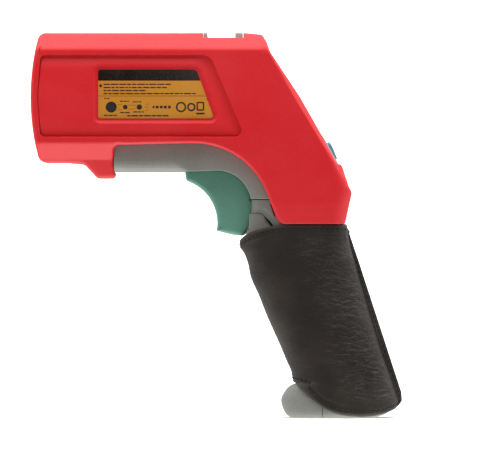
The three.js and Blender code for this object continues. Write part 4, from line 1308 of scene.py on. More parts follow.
@dataclass
class Optics:
    """What the muzzle shows: ribbed funnel, lens, laser tube and its window."""

    z: float = 159.3

    def build(self, look: Finishes) -> None:
        """Makes the turned pieces about the optical axis."""
        centre = (0.0, 0.0, self.z)
        ribs = [(21.2 - 0.9 * i / 6 + lift, -148.4 + 8.0 * (i + half) / 6.0, 0.0)
                for i in range(6) for half, lift in ((0.0, 0.0), (0.35, 0.0), (0.5, 0.5), (0.85, 0.5))]
        funnel = [(22.5, -149.2, 0.15), (22.5, -145.9, 0), (23.6, -145.9, 0.1), (23.6, -144.2, 0.1),
                  (22.5, -144.2, 0), (22.5, -138.2, 0.1), (20.3, -138.2, 0.1), (20.3, -140.3, 0),
                  *[(r, x, 0.0) for r, x, _ in reversed(ribs)], (21.7, -149.2, 0.25)]
        make_piece(turned(funnel, centre, Axis.X).mesh("muzzle_funnel", 25), "case", "black_plastic",
                   look.black, "front_bezel")
        lens = [(3.6, -135.9, 0.1), (7, -135.8, 30), (11, -135.45, 30), (19.8, -134.2, 0.2),
                (19.8, -132.6, 0.2), (3.6, -132.6, 0.1)]
        make_piece(turned(lens, centre, Axis.X).mesh("germanium_lens", 25), "case", "lens", look.lens,
                   "objective_lens")
        ring = [(20, -137.9, 0.2), (21.2, -137.9, 0.1), (21.2, -137.5, 0), (22.3, -137.5, 0.1),
                (22.3, -135.9, 0.15), (20, -135.9, 0.15)]
        make_piece(turned(ring, centre, Axis.X).mesh("lens_ring", 25), "case", "steel", look.steel,
                   "lens_retaining_ring")
        barrel = [(0, -139.4, 0), (2.5, -139.4, 0.1), (2.5, -140.6, 0.15), (3.2, -140.6, 0.25),
                  (3.2, -139.7, 0.05), (3.05, -139.5, 0), (3.2, -139.3, 0.05), (3.2, -122, 0.2), (0, -122, 0)]
        make_piece(turned(barrel, centre, Axis.X, 48).mesh("laser_tube", 25), "case", "brass", look.brass,
                   "laser_module")
        pane = [(0, -140.45, 0), (2.35, -140.4, 0.1), (2.35, -139.8, 0.1), (0, -139.8, 0)]
        make_piece(turned(pane, centre, Axis.X, 48).mesh("laser_pane", 25), "case", "clear_window",
                   look.window, "laser_window")


@dataclass
class RearControls:
    """The display's frame and window, the key plate and its three keys."""

    key_width: float = 10.0
    key_pitch: float = 12.0

    def key_height(self, points: Array) -> Array:
        """Key crown: falls towards the user's thumb and a little to each side."""
        down, across = points[:, 0], points[:, 1]
        offset = across - np.round(across / self.key_pitch) * self.key_pitch
        return 3.62 - 0.115 * (down - 52.2) - 0.006 * offset ** 2 - 0.012 * (down - 56.5) ** 2 * 0.5

    def plate_height(self, points: Array) -> Array:
        """Key plate: level with the slope at its top, lower towards its foot."""
        return 2.25 - 0.03 * (points[:, 0] - 47.4) - 0.0012 * points[:, 1] ** 2

    def build(self, look: Finishes) -> None:
        """Makes and dresses the display and the keypad."""
        frame_loop = box_outline(5.25, 40.75, -19.75, 19.75, 2.3)
        section = [(0.15, -3.0), (0, -2.8), (0, 0.55), (0.1, 0.8), (0.35, 0.9), (0.8, 0.92), (1.3, 0.85),
                   (1.45, 0.7), (1.5, 0.3), (1.52, -0.5), (2.15, -0.55), (2.2, -0.7), (2.2, -2.8),
                   (2.05, -3.0)]
        rim = Skin().add(ring_frame(frame_loop, section), SLOPE.place)
        make_piece(rim.mesh("display_frame", 35), "case", "black_plastic", look.black, "display_bezel")
        window = relief(box_outline(6.85, 39.15, -18.15, 18.15, 0.8), 0.62, 0.12, -0.3, 0.1, arc_steps=3)
        pane = Skin().add(window, SLOPE.place).mesh("display_pane", 30)
        make_piece(pane, "case", "clear_window", look.window, "display_window")
        spots = lattice(np.arange(48, 65, 1.5), np.arange(-19, 19.1, 1.5))
        plate = relief(box_outline(47.4, 64.8, -19.0, 19.0, 2.4), self.plate_height, 0.55, 0.5, 0.2, spots)
        plate = Skin().add(plate, SLOPE.place).mesh("key_plate", 30)
        wells, keys = Skin(), {}
        for name, shift in (("left", -self.key_pitch), ("middle", 0.0), ("right", self.key_pitch)):
            side = (shift - self.key_width / 2, shift + self.key_width / 2)
            wells.add(prism(box_outline(51.85, 62.05, side[0] - 0.35, side[1] + 0.35, 2.0),
                            [(-5, 0), (1.6, 0), (2.0, 0.1), (5, 1.6)]), SLOPE.place)
            loop = refined(box_outline(52.2, 61.7, *side, 1.8), 1.2)
            dots = lattice(np.arange(53, 61.5, 1.2), np.arange(side[0], side[1], 1.2))
            keys[name] = relief(loop, self.key_height, 0.8, -1.4, 0.2, dots)
        make_piece(carved(plate, wells, 30), "case", "pale_plastic", look.pale, "keypad_bezel")
        for name, key in keys.items():
            cap = Skin().add(key, SLOPE.place)
            make_piece(cap.mesh(f"key_cap_{name}", 30), f"key_{name}", "blue_key", look.blue, f"key_{name}")
            mark = Skin().add(self.mark(name), SLOPE.place)
            make_piece(mark.mesh(f"key_mark_{name}", 40), f"key_{name}", "pale_plastic", look.mark)

    def mark(self, name: str) -> Skin:
        """The symbol on a key: up arrow, ring or down arrow."""
        centre, shift = 56.9, {"left": -self.key_pitch, "middle": 0.0, "right": self.key_pitch}[name]
        if name == "middle":
            loop = LabelPrint.circle(centre, 0.0, 1.9, 40)
            rows = [np.column_stack([inset(loop, step), self.key_height(inset(loop, step)) + lift])
                    for step, lift in ((0, -0.05), (0, 0.04), (0.5, 0.04), (0.5, -0.05))]
            return Skin().grid(np.stack(rows), ring=True, loop=True)
        way = 1 if name == "left" else -1
        corners = [(centre - 1.7 * way, shift, 0.2), (centre + 1.4 * way, shift - 1.9, 0.2),
                   (centre + 1.4 * way, shift + 1.9, 0.2)]
        loop = refined(rounded(corners), 0.8)
        return relief(loop, lambda p: self.key_height(p) + 0.04, 0.02,
                      lambda p: self.key_height(p) - 0.05, 0.0, arc_steps=1)


# -------------------- under-frame and trigger

UNDERFRAME_CORNERS: list[Corner] = [
    (-109.7, 122.3, 1), (-109.7, 140, 0), (-45, 140, 4), (-24, 118, 3), (-24, 109, 0), (-41.6, 109, 0),
    *arc(-58.4, 106.3, 16.9, 14, 98, 16), (-74.6, 122.6, 0), (-77.3, 122.3, 0),
]
TRIGGER_CORNERS: list[Corner] = [
    (-74.55, 124, 0), (-73.9, 118.1, 2.3), *arc(-80.35, 97, 22, 66, -10, 22), (-56.1, 92.4, 2.3),
    (-50.35, 91.0, 0), (-45.0, 90.6, 2.4), (-41.6, 94.6, 0), (-40.2, 99.5, 0), (-39.4, 106, 6),
    (-42.5, 119, 14), (-62, 129.5, 8), (-66, 133, 5), (-74.3, 133, 4),
]


@dataclass
class UnderFrame:
    """Grey frame under the barrel, in two halves, with the slot for the trigger."""

    half_width: float = 20.0
    wall: float = 2.2
    bottom_z: float = 122.3
    nose_radius: float = 6.0

    def side_height(self, points: Array) -> Array:
        """Half width: flat sides that turn under through a quarter circle ahead of the trigger."""
        x, z = points[:, 0], points[:, 1]
        radius = 0.02 + self.nose_radius * (1 - smooth_step(x, -80, -70))
        depth = np.clip(radius - (z - self.bottom_z), 0, radius)
        return self.half_width - radius + np.sqrt(np.maximum(radius ** 2 - depth ** 2, 0))

    def slot(self) -> Skin:
        """The trigger's room, and the open top over the switch."""
        sweep = rounded([(-75.5, 100, 0), (-75.5, 135, 0), (-62, 135, 2), (-41, 127, 4), (-35.4, 118, 2),
                         (-35.4, 100, 0)])
        tools = Skin().add(prism(sweep, [(-11.1, 0), (11.1, 0)]), right_side)
        top = box_outline(-104, -46, 130, 150, 0)
        inner = self.half_width - self.wall
        return tools.add(prism(top, [(-inner, 0), (inner, 0)]), right_side)

    def build(self, look: Finishes) -> None:
        """Makes the halves."""
        loop = refined(rounded(UNDERFRAME_CORNERS), 1.4)
        drop = self.nose_radius * (1 - np.cos(np.linspace(0.12, math.pi / 2, 9)))
        zs = np.concatenate([self.bottom_z + drop, np.arange(108, 140, 1.8)])
        spots = lattice(np.arange(-109, -24, 1.8), np.unique(np.round(zs, 2)))
        edge = np.where((loop[:, 1] < 122.9) & (loop[:, 0] < -72), 0.12, 0.3)
        hollow = refined(rounded([(x, z, 0.0) for x, z, _ in shrunk(UNDERFRAME_CORNERS, self.wall)]), 4)
        skin = relief(loop, self.side_height, edge, 0.08, 0.25, spots, cavity=Cavity(hollow, self.wall))
        half = carved(Skin().add(skin, left_side).mesh("underframe_shell_left", 28), self.slot(), 28)
        half.name = "underframe_shell_left"
        make_piece(half, "case", "grey_frame", look.grey, "underframe_left")
        other = mirrored(half, "underframe_shell_right")
        make_piece(other, "case", "grey_frame", look.grey, "underframe_right")


@dataclass
class Trigger:
    """Green trigger with a hollowed finger face, on its pin."""

    half_width: float = 10.3
    edge: float = 2.2
    pin: tuple[float, float] = (-70.0, 128.0)

    def build(self, look: Finishes) -> None:
        """Makes the lever, with its pin hole and spring bay."""
        loop = refined(rounded(TRIGGER_CORNERS), 1.1)
        radius = np.where(loop[:, 1] > 122, 0.6, self.edge)
        for _ in range(4):
            radius = (np.roll(radius, 1) + radius + np.roll(radius, -1)) / 3
        spots = lattice(np.arange(-75, -41, 1.6), np.arange(91, 133, 1.6))

        def face(points: Array) -> Array:
            """Half width: falls away from the middle of the pad, more so towards its foot."""
            off = points[:, 1] - 110
            return self.half_width - 0.0009 * off ** 2 - 0.0022 * np.minimum(off, 0) ** 2

        lever = two_sided(loop, face, radius, spots).mesh("trigger_lever", 34)
        x, z = self.pin
        tools = turned([(0, -30, 0), (1.6, -30, 0), (1.6, 30, 0), (0, 30, 0)], (x, 0, z), Axis.Y, 48)
        bay = rounded([(x - 4.6, z - 4.4, 2), (x - 4.6, z + 20, 0), (x + 20, z + 20, 0),
                       (x + 12, z - 4.4, 2)])
        tools.add(prism(bay, [(-4.4, 0), (4.4, 0)]), right_side)
        lever = carved(lever, tools, 34)
        make_piece(lever, "trigger", "green_trigger", look.green, "trigger")


# -------------------- grip

GRIP_LEVELS: Array = np.array([
    (0, -22, 21, 14.5, 2.8), (1.2, -23.7, 25, 15.8, 2.8), (4, -25.4, 28.5, 16.9, 2.8),
    (8.5, -26.5, 29.9, 17.4, 2.8), (13.5, -24.2, 28.5, 17.6, 2.8), (16, -21.6, 27.7, 17.6, 2.8),
    (17.4, -18.4, 27.3, 17.7, 2.8), (31, -23.1, 22.4, 17.8, 2.8), (52, -32.3, 15.9, 18, 2.8),
    (60.5, -35.6, 13.4, 18, 2.8), (71, -40.1, 10.3, 18, 2.8), (76.5, -41.2, 8.8, 17.9, 3.1),
    (81, -42.7, 7.5, 17.8, 3.3), (86, -45, 6.1, 17.6, 3.6), (90.4, -45, 5.2, 17.3, 4.2),
    (92.5, -44.4, 4.8, 17.2, 4.6), (96, -43.1, 3.9, 17.2, 4.8), (100, -42.1, 2.7, 17.1, 5),
    (104, -41.8, 1.5, 17.1, 5), (112, -41.7, -1, 17, 5),
])
PAD_CORNERS: list[Corner] = [
    (-42.6, 86, 0), (-42.6, 101.9, 1.5), (-36, 101.9, 2.6), (-29.5, 92.4, 3), (-28.6, 86, 0),
]


def eased(levels: Array, at: Array) -> Array:
    """Columns of a table read between its rows by monotone cubics.

    The slope at each row is the harmonic mean of the slopes on either side, or none at a turning point.
    """
    key, columns = levels[:, 0], levels[:, 1:]
    step = np.diff(key)[:, None]
    slope = np.diff(columns, axis=0) / step
    before, after = slope[:-1], slope[1:]
    same = before * after > 0
    mean = np.where(same, 2 * before * after / np.where(same, before + after, 1), 0)
    tangent = np.vstack([slope[:1], mean, slope[-1:]])
    i = np.clip(np.searchsorted(key, at, side="right") - 1, 0, len(key) - 2)
    h = step[i]
    t = np.clip((at[:, None] - key[i][:, None]) / h, 0, 1)
    start, end = columns[i], columns[i + 1]
    return ((2 * t ** 3 - 3 * t ** 2 + 1) * start + (t ** 3 - 2 * t ** 2 + t) * h * tangent[i]
            + (3 * t ** 2 - 2 * t ** 3) * end + (t ** 3 - t ** 2) * h * tangent[i + 1])


def grip_section(heights: Array, angles: Array, grow: float) -> Array:
    """Points of the grip's horizontal sections, which are superellipses.

    x = middle + half depth * sign(cos) * |cos| ** (2 / n), and y likewise with the half width and sin.

    Args:
        heights: a height for each row, or a grid of heights.
        angles: angles round the section, of the same shape as the heights once broadcast.
        grow: how far the section is grown.

    Returns:
        The points, with a last axis of three.
    """
    heights, angles = np.broadcast_arrays(heights, angles)
    found = eased(GRIP_LEVELS, heights.ravel())
    front, rear, width, power = (found[:, i].reshape(heights.shape) for i in range(4))
    c, s = np.cos(angles), np.sin(angles)
    x = (front + rear) / 2 + ((rear - front) / 2 + grow) * np.sign(c) * np.abs(c) ** (2 / power)
    y = (width + grow) * np.sign(s) * np.abs(s) ** (2 / power)
    return np.stack([x, y, heights], axis=-1)


def even_angles(count: int, power: float = 3.2) -> Array:
    """Angles that space points evenly round a superellipse of typical proportions."""
    fine = np.linspace(0, 2 * math.pi, 4001)
    c, s = np.cos(fine), np.sin(fine)
    x, y = 25 * np.sign(c) * np.abs(c) ** (2 / power), 18 * np.sign(s) * np.abs(s) ** (2 / power)
    length = np.concatenate([[0], np.cumsum(np.hypot(np.diff(x), np.diff(y)))])
    return np.interp(np.linspace(0, length[-1], count, endpoint=False), length, fine)


@dataclass
class Grip:
    """Grey battery grip: the door in front, the body behind, two release pads and the tripod bush."""

    wall: float = 2.4
    floor: float = 2.8
    top_z: float = 112.0
    seam_z: float = 108.55
    gap: float = 0.3
    tripod_x: float = 11.0

    def form(self, grow: float, extra_top: float = 0.0, count: int = 88) -> Skin:
        """The grip's outer form, grown by a distance."""
        heights = np.unique(np.concatenate([
            np.linspace(0, 18, 19), np.arange(18, 86, 4.0), np.linspace(86, 94, 9),
            [98, 103, 108, self.top_z]]))
        rows = grip_section(heights[:, None], even_angles(count)[None], grow)
        if extra_top:
            rows = np.concatenate([rows, rows[-1:] + np.array([0, 0, extra_top])])
        skin = Skin().grid(rows, ring=True)
        for row in (rows[0], rows[-1]):
            skin.patch(row, [list(range(count))])
        return skin

    def side_tool(self, side: int, top: float) -> Skin:
        """Everything in front of the split line (side -1) or behind it (side 1), up to a height."""
        line = [(-6, -5), (-6, 6), (-21.5, 95), (-21.5, top)]
        shift = side * self.gap / 2
        points = [(x + shift, z, 0.0) for x, z in line] + [(side * 90, top, 0), (side * 90, -5, 0)]
        return Skin().add(prism(rounded(points), THROUGH), right_side)

    def shell(self, name: str) -> bpy.types.Mesh:
        """The outer form, hollowed."""
        hollow = self.form(-self.wall, extra_top=6.0, count=60)
        inner = carved(hollow.mesh("inner"), Skin().add(prism(
            box_outline(-60, 60, self.floor, 140, 0), THROUGH), right_side), 30, keep=True)
        body = self.form(0.0).mesh(name, 30)
        inner.calc_loop_triangles()
        points, faces = np.empty(len(inner.vertices) * 3), np.empty(len(inner.loop_triangles) * 3, int)
        inner.vertices.foreach_get("co", points)
        inner.loop_triangles.foreach_get("vertices", faces)
        return carved(body, Skin().patch(points.reshape(-1, 3) / MM, faces.reshape(-1, 3)), 30)

    def trigger_room(self) -> Skin:
        """The trigger's sweep inside the door."""
        sweep = rounded([(-62, 89.8, 0), (-46, 89.9, 0), (-40.4, 91, 2), (-35.3, 100, 6), (-35.3, 120, 0),
                         (-62, 120, 0)])
        return Skin().add(prism(sweep, [(-11.0, 0), (11.0, 0)]), right_side)

    def pad_wells(self) -> Skin:
        """Arched wells of the release pads, flaring outwards."""
        flare = [(11.5, 0), (13.9, 0), (14.2, 0.5), (14.9, 1.5), (16.0, 2.6), (17.2, 3.4), (20, 6.5)]
        well = prism(rounded(PAD_CORNERS, 0.2), flare)
        return Skin().add(well, left_side).add(well, right_side)

    def clip_slots(self) -> Skin:
        """A narrow slot on each side, where a clip of the housing drops in beside the arch."""
        loop = rounded([(-32.1, 106.4, 0), (-30.6, 106.4, 0), (-28.4, 100.3, 0), (-30.0, 100.3, 0)])
        slot = prism(loop, [(13.5, 0), (20, 0)])
        return Skin().add(slot, left_side).add(slot, right_side)

    def build(self, look: Finishes) -> None:
        """Makes the door, the body, the pads and the bush."""
        shell = self.shell("grip_shell")
        door = carved(shell.copy(), self.side_tool(-1, self.seam_z), 30, keep=True)
        for tools in (self.trigger_room(), self.pad_wells(), self.clip_slots()):
            door = carved(door, tools, 30)
        door.name = "door_shell"
        make_piece(door, "case", "grey_frame", look.grey, "battery_door")
        body = carved(shell, self.side_tool(1, self.top_z + 0.1), 30, keep=True)
        seat = [(0, -1, 0), (5.6, -1, 0), (5.6, 9.5, 0), (0, 9.5, 0)]
        body = carved(body, turned(seat, (self.tripod_x, 0, 0), Axis.Z, 48), 30)
        body.name = "grip_core"
        make_piece(body, "case", "grey_frame", look.grey, "grip_body")
        for name, place in (("left", left_side), ("right", right_side)):
            loop = refined(rounded(shrunk(PAD_CORNERS, 0.16), 0.2), 1.2)
            spots = lattice(np.arange(-39, -27, 1.3), np.arange(87, 103, 1.3))
            pad = relief(loop, lambda p: 14.4 - 0.003 * (p[:, 1] - 96) ** 2, 0.4, 13.0, 0.2, spots)
            cap = Skin().add(pad, place).mesh(f"release_cap_{name}", 32)
            make_piece(cap, f"release_pad_{name}", "grey_frame", look.grey, f"release_pad_{name}")
        self.shade_strips(look)
        self.bush(look)

    def shade_strips(self, look: Finishes) -> None:
        """Dark strips inside the door that stand in for shade: behind its seam with the under-frame and
        behind each pad.
        """
        strip = rounded([(-39.0, 105.2, 0), (-23.4, 105.2, 0), (-23.4, 108.9, 0.3), (-39.0, 108.9, 0.3)])
        behind = rounded([(-42.2, 86.5, 0), (-23.4, 86.5, 0), (-23.4, 108.95, 0), (-40.6, 108.95, 0)])
        strips = Skin()
        for place in (left_side, right_side):
            strips.add(prism(strip, [(12.2, 0), (14.3, 0)]), place)
            strips.add(prism(behind, [(11.1, 0), (11.6, 0)]), place)
        # Painted shade: dark sheets where the seam and the pad wells would open onto the grip's inside.
        make_piece(strips.mesh("door_shade_strips", 40), "case", "dark_rubber", look.rubber)

    def bush(self, look: Finishes) -> None:
        """Threaded brass bush: a ribbed bore and a plain outer wall."""
        pitch, count = 1.27, 6
        bore = [(3.1 + lift, 1.0 + pitch * (i + part), 0.0)
                for i in range(count) for part, lift in ((0.0, 0.0), (0.12, 0.0), (0.5, 0.55), (0.62, 0.55))]
        profile = [(3.55, 0.3, 0), (5.3, 0.3, 0.25), (5.3, 8.8, 0.25), (3.55, 8.8, 0),
                   *[(r, z, 0.0) for r, z, _ in reversed(bore)]]
        mesh = turned(profile, (self.tripod_x, 0, 0), Axis.Z, 64).mesh("tripod_bush", 25)
        make_piece(mesh, "case", "brass", look.brass, "tripod_insert")


# -------------------- leather sleeve

@dataclass
class Sleeve:
    """Leather sleeve: one hide wrapped round the grip and sewn to itself in a flange down the back."""

    thickness: float = 1.4
    clearance: float = 0.35
    seam_half: float = 0.72
    around: int = 190
    flange_columns: int = 12
    along: int = 150
    wrinkle: float = 0.13
    hem_stitch_depth: float = 2.7
    flange_stitch_depth: float = 1.15
    groove_width: float = 0.5
    ground: float = 0.35
    stitch: float = 1.9
    pitch: float = 2.6
    flat: tuple[float, float] = (0.142, 0.098)
    rng: np.random.Generator = field(default_factory=lambda: np.random.default_rng(RNG_SEED + 1))

    def top_z(self, x: Array) -> Array:
        """Height of the top hem at x."""
        knots = [(-60, 87.6), (-47.2, 87.9), (-46.4, 88.6), (-44.5, 90.4), (-42, 92.2), (-38, 93.8),
                 (-33, 95.1), (-28, 96.0), (-24, 96.3), (12, 96.4), (60, 96.4)]
        return np.interp(x, *np.array(knots).T)

    def bottom_z(self, x: Array) -> Array:
        """Height of the bottom hem at x."""
        knots = [(-60, 17.6), (-19.2, 17.4), (-17.6, 15.6), (-15.6, 13.2), (-11.5, 9.4), (-8, 6.7), (-4, 4.2),
                 (0, 2.4), (5, 1.3), (12.5, 0.8), (19, 1.1), (24, 2.2), (31, 4.9), (34, 6.6), (60, 12)]
        return np.interp(x, *np.array(knots).T)

    def flange_x(self, z: Array) -> Array:
        """Outer edge of the flange at each height."""
        knots = [(0, 26.6), (3.5, 29.6), (6.1, 32.6), (8.2, 34.1), (12.5, 33.8), (37, 25.8), (58.5, 18.8),
                 (77.5, 12.6), (95.9, 6.4), (110, 1.6)]
        return np.interp(z, *np.array(knots).T)

    def section(self, z: Array) -> Array:
        """Middle surface of the hide for a grid of heights (rows, columns).

        Columns run from the flange's outer edge on the left, along the flange, round the front, and back to
        its outer edge on the right. The wrap is the grip's superellipse grown by the clearance and half the
        thickness; the flange is two straight runs at the seam's half thickness.
        """
        grow = self.clearance + self.thickness / 2
        free = self.around - 2 * self.flange_columns
        fine = np.concatenate([even_angles(free * 4), [2 * math.pi]])
        ring = np.interp(np.linspace(0.018, 0.982, free), np.linspace(0, 1, len(fine)), fine)
        wrap = grip_section(z[:, self.flange_columns:-self.flange_columns], -ring[None], grow)
        share = np.linspace(0, 1, self.flange_columns, endpoint=False)

        def run(column: int, side: int, shares: Array) -> Array:
            heights = z[:, :self.flange_columns] if side < 0 else z[:, -self.flange_columns:]
            root = wrap[:, column, 0][:, None]
            tip = np.maximum(self.flange_x(heights) - 0.1, root + 0.35)
            x = tip + (root - tip) * shares
            return np.stack([x, np.full_like(x, side * self.seam_half), heights], axis=-1)

        both = np.concatenate([run(0, -1, share), wrap, run(-1, 1, share[::-1])], axis=1)
        joint = slice(self.flange_columns - 6, self.flange_columns + 8)
        other = slice(-self.flange_columns - 8, -self.flange_columns + 6)
        for _ in range(8):
            blurred = (np.roll(both, 1, axis=1) + 2 * both + np.roll(both, -1, axis=1)) / 4
            for part in (joint, other):
                both[:, part, :2] = blurred[:, part, :2]
        side = np.where(np.arange(self.around) < self.around / 2, -1.0, 1.0)
        kept = np.maximum(np.abs(both[..., 1]), self.seam_half) * side
        wide = np.abs(both[..., 1]) < self.seam_half
        near = (np.arange(self.around) < 40) | (np.arange(self.around) >= self.around - 40)
        both[..., 1] = np.where(wide & near, kept, both[..., 1])
        return both

    def hems(self) -> tuple[Array, Array]:
        """Heights of the top and bottom hems in each column, found by halving."""
        found = []
        for line, low, high in ((self.top_z, 70.0, 110.0), (self.bottom_z, 0.2, 40.0)):
            a, b = np.full(self.around, low), np.full(self.around, high)
            for _ in range(26):
                middle = (a + b) / 2
                x = self.section(middle[None])[0, :, 0]
                above = middle > line(x)
                b, a = np.where(above, middle, b), np.where(above, a, middle)
            found.append((a + b) / 2)
        top, bottom = found
        for _ in range(9):
            top[1:-1] = (top[:-2] + 2 * top[1:-1] + top[2:]) / 4
            bottom[1:-1] = (bottom[:-2] + 2 * bottom[1:-1] + bottom[2:]) / 4
        return top, bottom

    @staticmethod
    def squared_up(hem: Array, arc_length: Array) -> Array:
        """Cosine of a hem's slope in each column, which turns heights above it into distances from it."""
        slope = np.gradient(hem) / np.gradient(arc_length)
        cosine = 1 / np.sqrt(1 + slope ** 2)
        window = np.hanning(9) / np.hanning(9).sum()
        return np.convolve(np.pad(cosine, 4, mode="edge"), window, mode="valid")

    def waves(self, points: Array) -> Array:
        """Horizontal wrinkles: sums of seeded sines, steep along the grip and slow round it, sharpened."""
        total = np.zeros(points.shape[:-1])
        for _ in range(7):
            along, sideways, phase = self.rng.uniform((1.0, -0.3, 0), (2.2, 0.3, 6.3))
            warp = 0.9 * np.sin(points[..., 0] * self.rng.uniform(0.1, 0.3) + phase * 2)
            total += np.sin(points[..., 2] * along + points[..., 0] * sideways + warp + phase) / 7
        return np.sign(total) * np.abs(total) ** 0.8

    def build(self, look: Finishes) -> None:
        """Makes the sleeve and its stitches."""
        top, bottom = self.hems()
        v = np.linspace(0, 1, self.along)
        v -= 0.02 * np.sin(2 * math.pi * v)
        z = bottom[None] + (top - bottom)[None] * v[:, None]
        middle = self.section(z)
        normal = np.cross(np.gradient(middle, axis=1), np.gradient(middle, axis=0))
        normal /= np.linalg.norm(normal, axis=-1, keepdims=True)
        normal *= np.sign((normal[..., 1] * middle[..., 1]).mean())
        steps = np.diff(middle, axis=1, prepend=middle[:, :1])
        arc_length = np.cumsum(np.linalg.norm(steps, axis=-1), axis=1)
        from_top = (top - z) * self.squared_up(top, arc_length[-1])
        from_bottom = (z - bottom) * self.squared_up(bottom, arc_length[0])
        from_side = np.minimum(arc_length, arc_length[:, -1:] - arc_length)
        hem = np.minimum(from_top, from_bottom)
        fold = 0.42 * (1 - smooth_step(hem, 3.8, 5.6))
        groove = np.exp(-((hem - self.hem_stitch_depth) / self.groove_width) ** 2)
        rounding = 0.5 * (1 - smooth_step(hem, 0.0, 0.8))
        calm = smooth_step(hem, 4.5, 8.0) * smooth_step(from_side, 5.0, 9.0)
        rear = 0.12 + 0.88 * smooth_step(middle[..., 0] + 0.32 * (middle[..., 2] - 50), -16, 4)
        ripple = self.wrinkle * self.waves(middle) * calm * rear
        outer = middle + normal * (self.thickness / 2 + fold - 0.3 * groove - rounding + ripple)[..., None]
        inner = middle - normal * (self.thickness / 2 - 0.25 * (1 - smooth_step(hem, 0, 0.8)))[..., None]
        for face in (outer, inner):
            face[..., 2] = np.maximum(face[..., 2], self.ground)
        inner[..., 1] = np.where(from_side < 4, np.sign(middle[..., 1]) * 0.03, inner[..., 1])
        skin = Skin().grid(outer).grid(inner)
        for edge in (0, -1):
            skin.grid(np.stack([outer[edge], inner[edge]]))
            skin.grid(np.stack([outer[:, edge], inner[:, edge]]))
        from_front = arc_length - arc_length[:, -1:] / 2
        # Painted highlight down the sleeve's front edge, and a broader painted highlight round the front.
        rub_and_highlight = 0.5 * np.exp(-(from_front / 4.5) ** 2) + 0.36 * np.exp(-(from_front / 19.0) ** 2)
        # Painted highlight on the wrinkle crests; lighter along the hems.
        rub_and_highlight += 0.1 * np.clip(ripple / self.wrinkle, 0, 1) + 0.45 * (1 - smooth_step(hem, 0.3, 2.2))
        # Lighter towards the bottom; the flange strip painted lighter to lift it out of its shade.
        rub_and_highlight += 0.12 * smooth_step(-middle[..., 2], -35, -5) + 0.95 * (1 - smooth_step(from_side, 2.2, 3.4))
        # Less of the lightening in the stitch groove, so it is darker there.
        rub_and_highlight -= 0.15 * groove
        masks = {name: np.concatenate([
            mask.ravel(), mask.ravel(),
            *(part for edge in (0, -1) for part in (mask[edge], mask[edge], mask[:, edge], mask[:, edge]))])
            for name, mask in (("rub_and_highlight", np.clip(rub_and_highlight, 0, 1)), ("crumple", calm * rear))}
        mesh = skin.mesh("grip_sleeve", 50, masks)
        piece = make_piece(mesh, "case", "brown_black_leather", look.leather, "leather_sleeve")
        self.stitches(outer, normal, hem, from_side, look)

    def stitches(self, outer: Array, normal: Array, hem: Array, from_side: Array, look: Finishes) -> None:
        """Sewn stitches along both hems and down both sides of the flange."""
        columns = np.arange(4, self.around - 4)
        rows_of = np.arange(self.along)
        paths = []
        for way in (1, -1):
            order = slice(None, None, way)
            depth = hem[order]
            paths.append(self.trace(outer[order], normal[order], depth, columns, self.hem_stitch_depth))
        for way in (1, -1):
            flip = slice(None, None, way)
            depth = from_side[:, flip].T
            points = np.swapaxes(outer[:, flip], 0, 1)
            normals = np.swapaxes(normal[:, flip], 0, 1)
            paths.append(self.trace(points, normals, depth, rows_of[4:-4], self.flange_stitch_depth))
        thread = Skin()
        for points, normals in paths:
            self.sew(thread, points, normals)
        make_piece(thread.mesh("sleeve_stitches", 60), "case", "brown_black_leather", look.thread)

    @staticmethod
    def trace(points: Array, normals: Array, depth: Array, columns: Array,
              target: float) -> tuple[Array, Array]:
        """The line on the grid that is a given depth from the first row, in each column."""
        limit = points.shape[0] // 2
        near = depth[:limit, columns]
        first = (near >= target).argmax(0)
        first = np.maximum(first, 1)
        a, b = near[first - 1, np.arange(len(columns))], near[first, np.arange(len(columns))]
        share = np.clip((target - a) / np.maximum(b - a, 1e-6), 0, 1)[:, None]
        line = points[first - 1, columns] * (1 - share) + points[first, columns] * share
        return line, normals[first, columns]

    def sew(self, thread: Skin, points: Array, normals: Array) -> None:
        """Adds stitches along a line: short tubes that dip into the hide at both ends."""
        step = np.linalg.norm(np.diff(points, axis=0), axis=1)
        length = np.concatenate([[0], np.cumsum(step)])
        starts = np.arange(0.8, length[-1] - self.pitch, self.pitch)
        t = np.linspace(0, 1, 7)
        lift = 0.30 - 0.62 * np.abs(2 * t - 1) ** 3
        for start in starts:
            at = start + self.stitch * t
            path = np.stack([np.interp(at, length, points[:, i]) for i in range(3)], axis=1)
            out = np.stack([np.interp(at, length, normals[:, i]) for i in range(3)], axis=1)
            thread.add(tube(path + out * lift[:, None], 0.3, 6))


# -------------------- studio

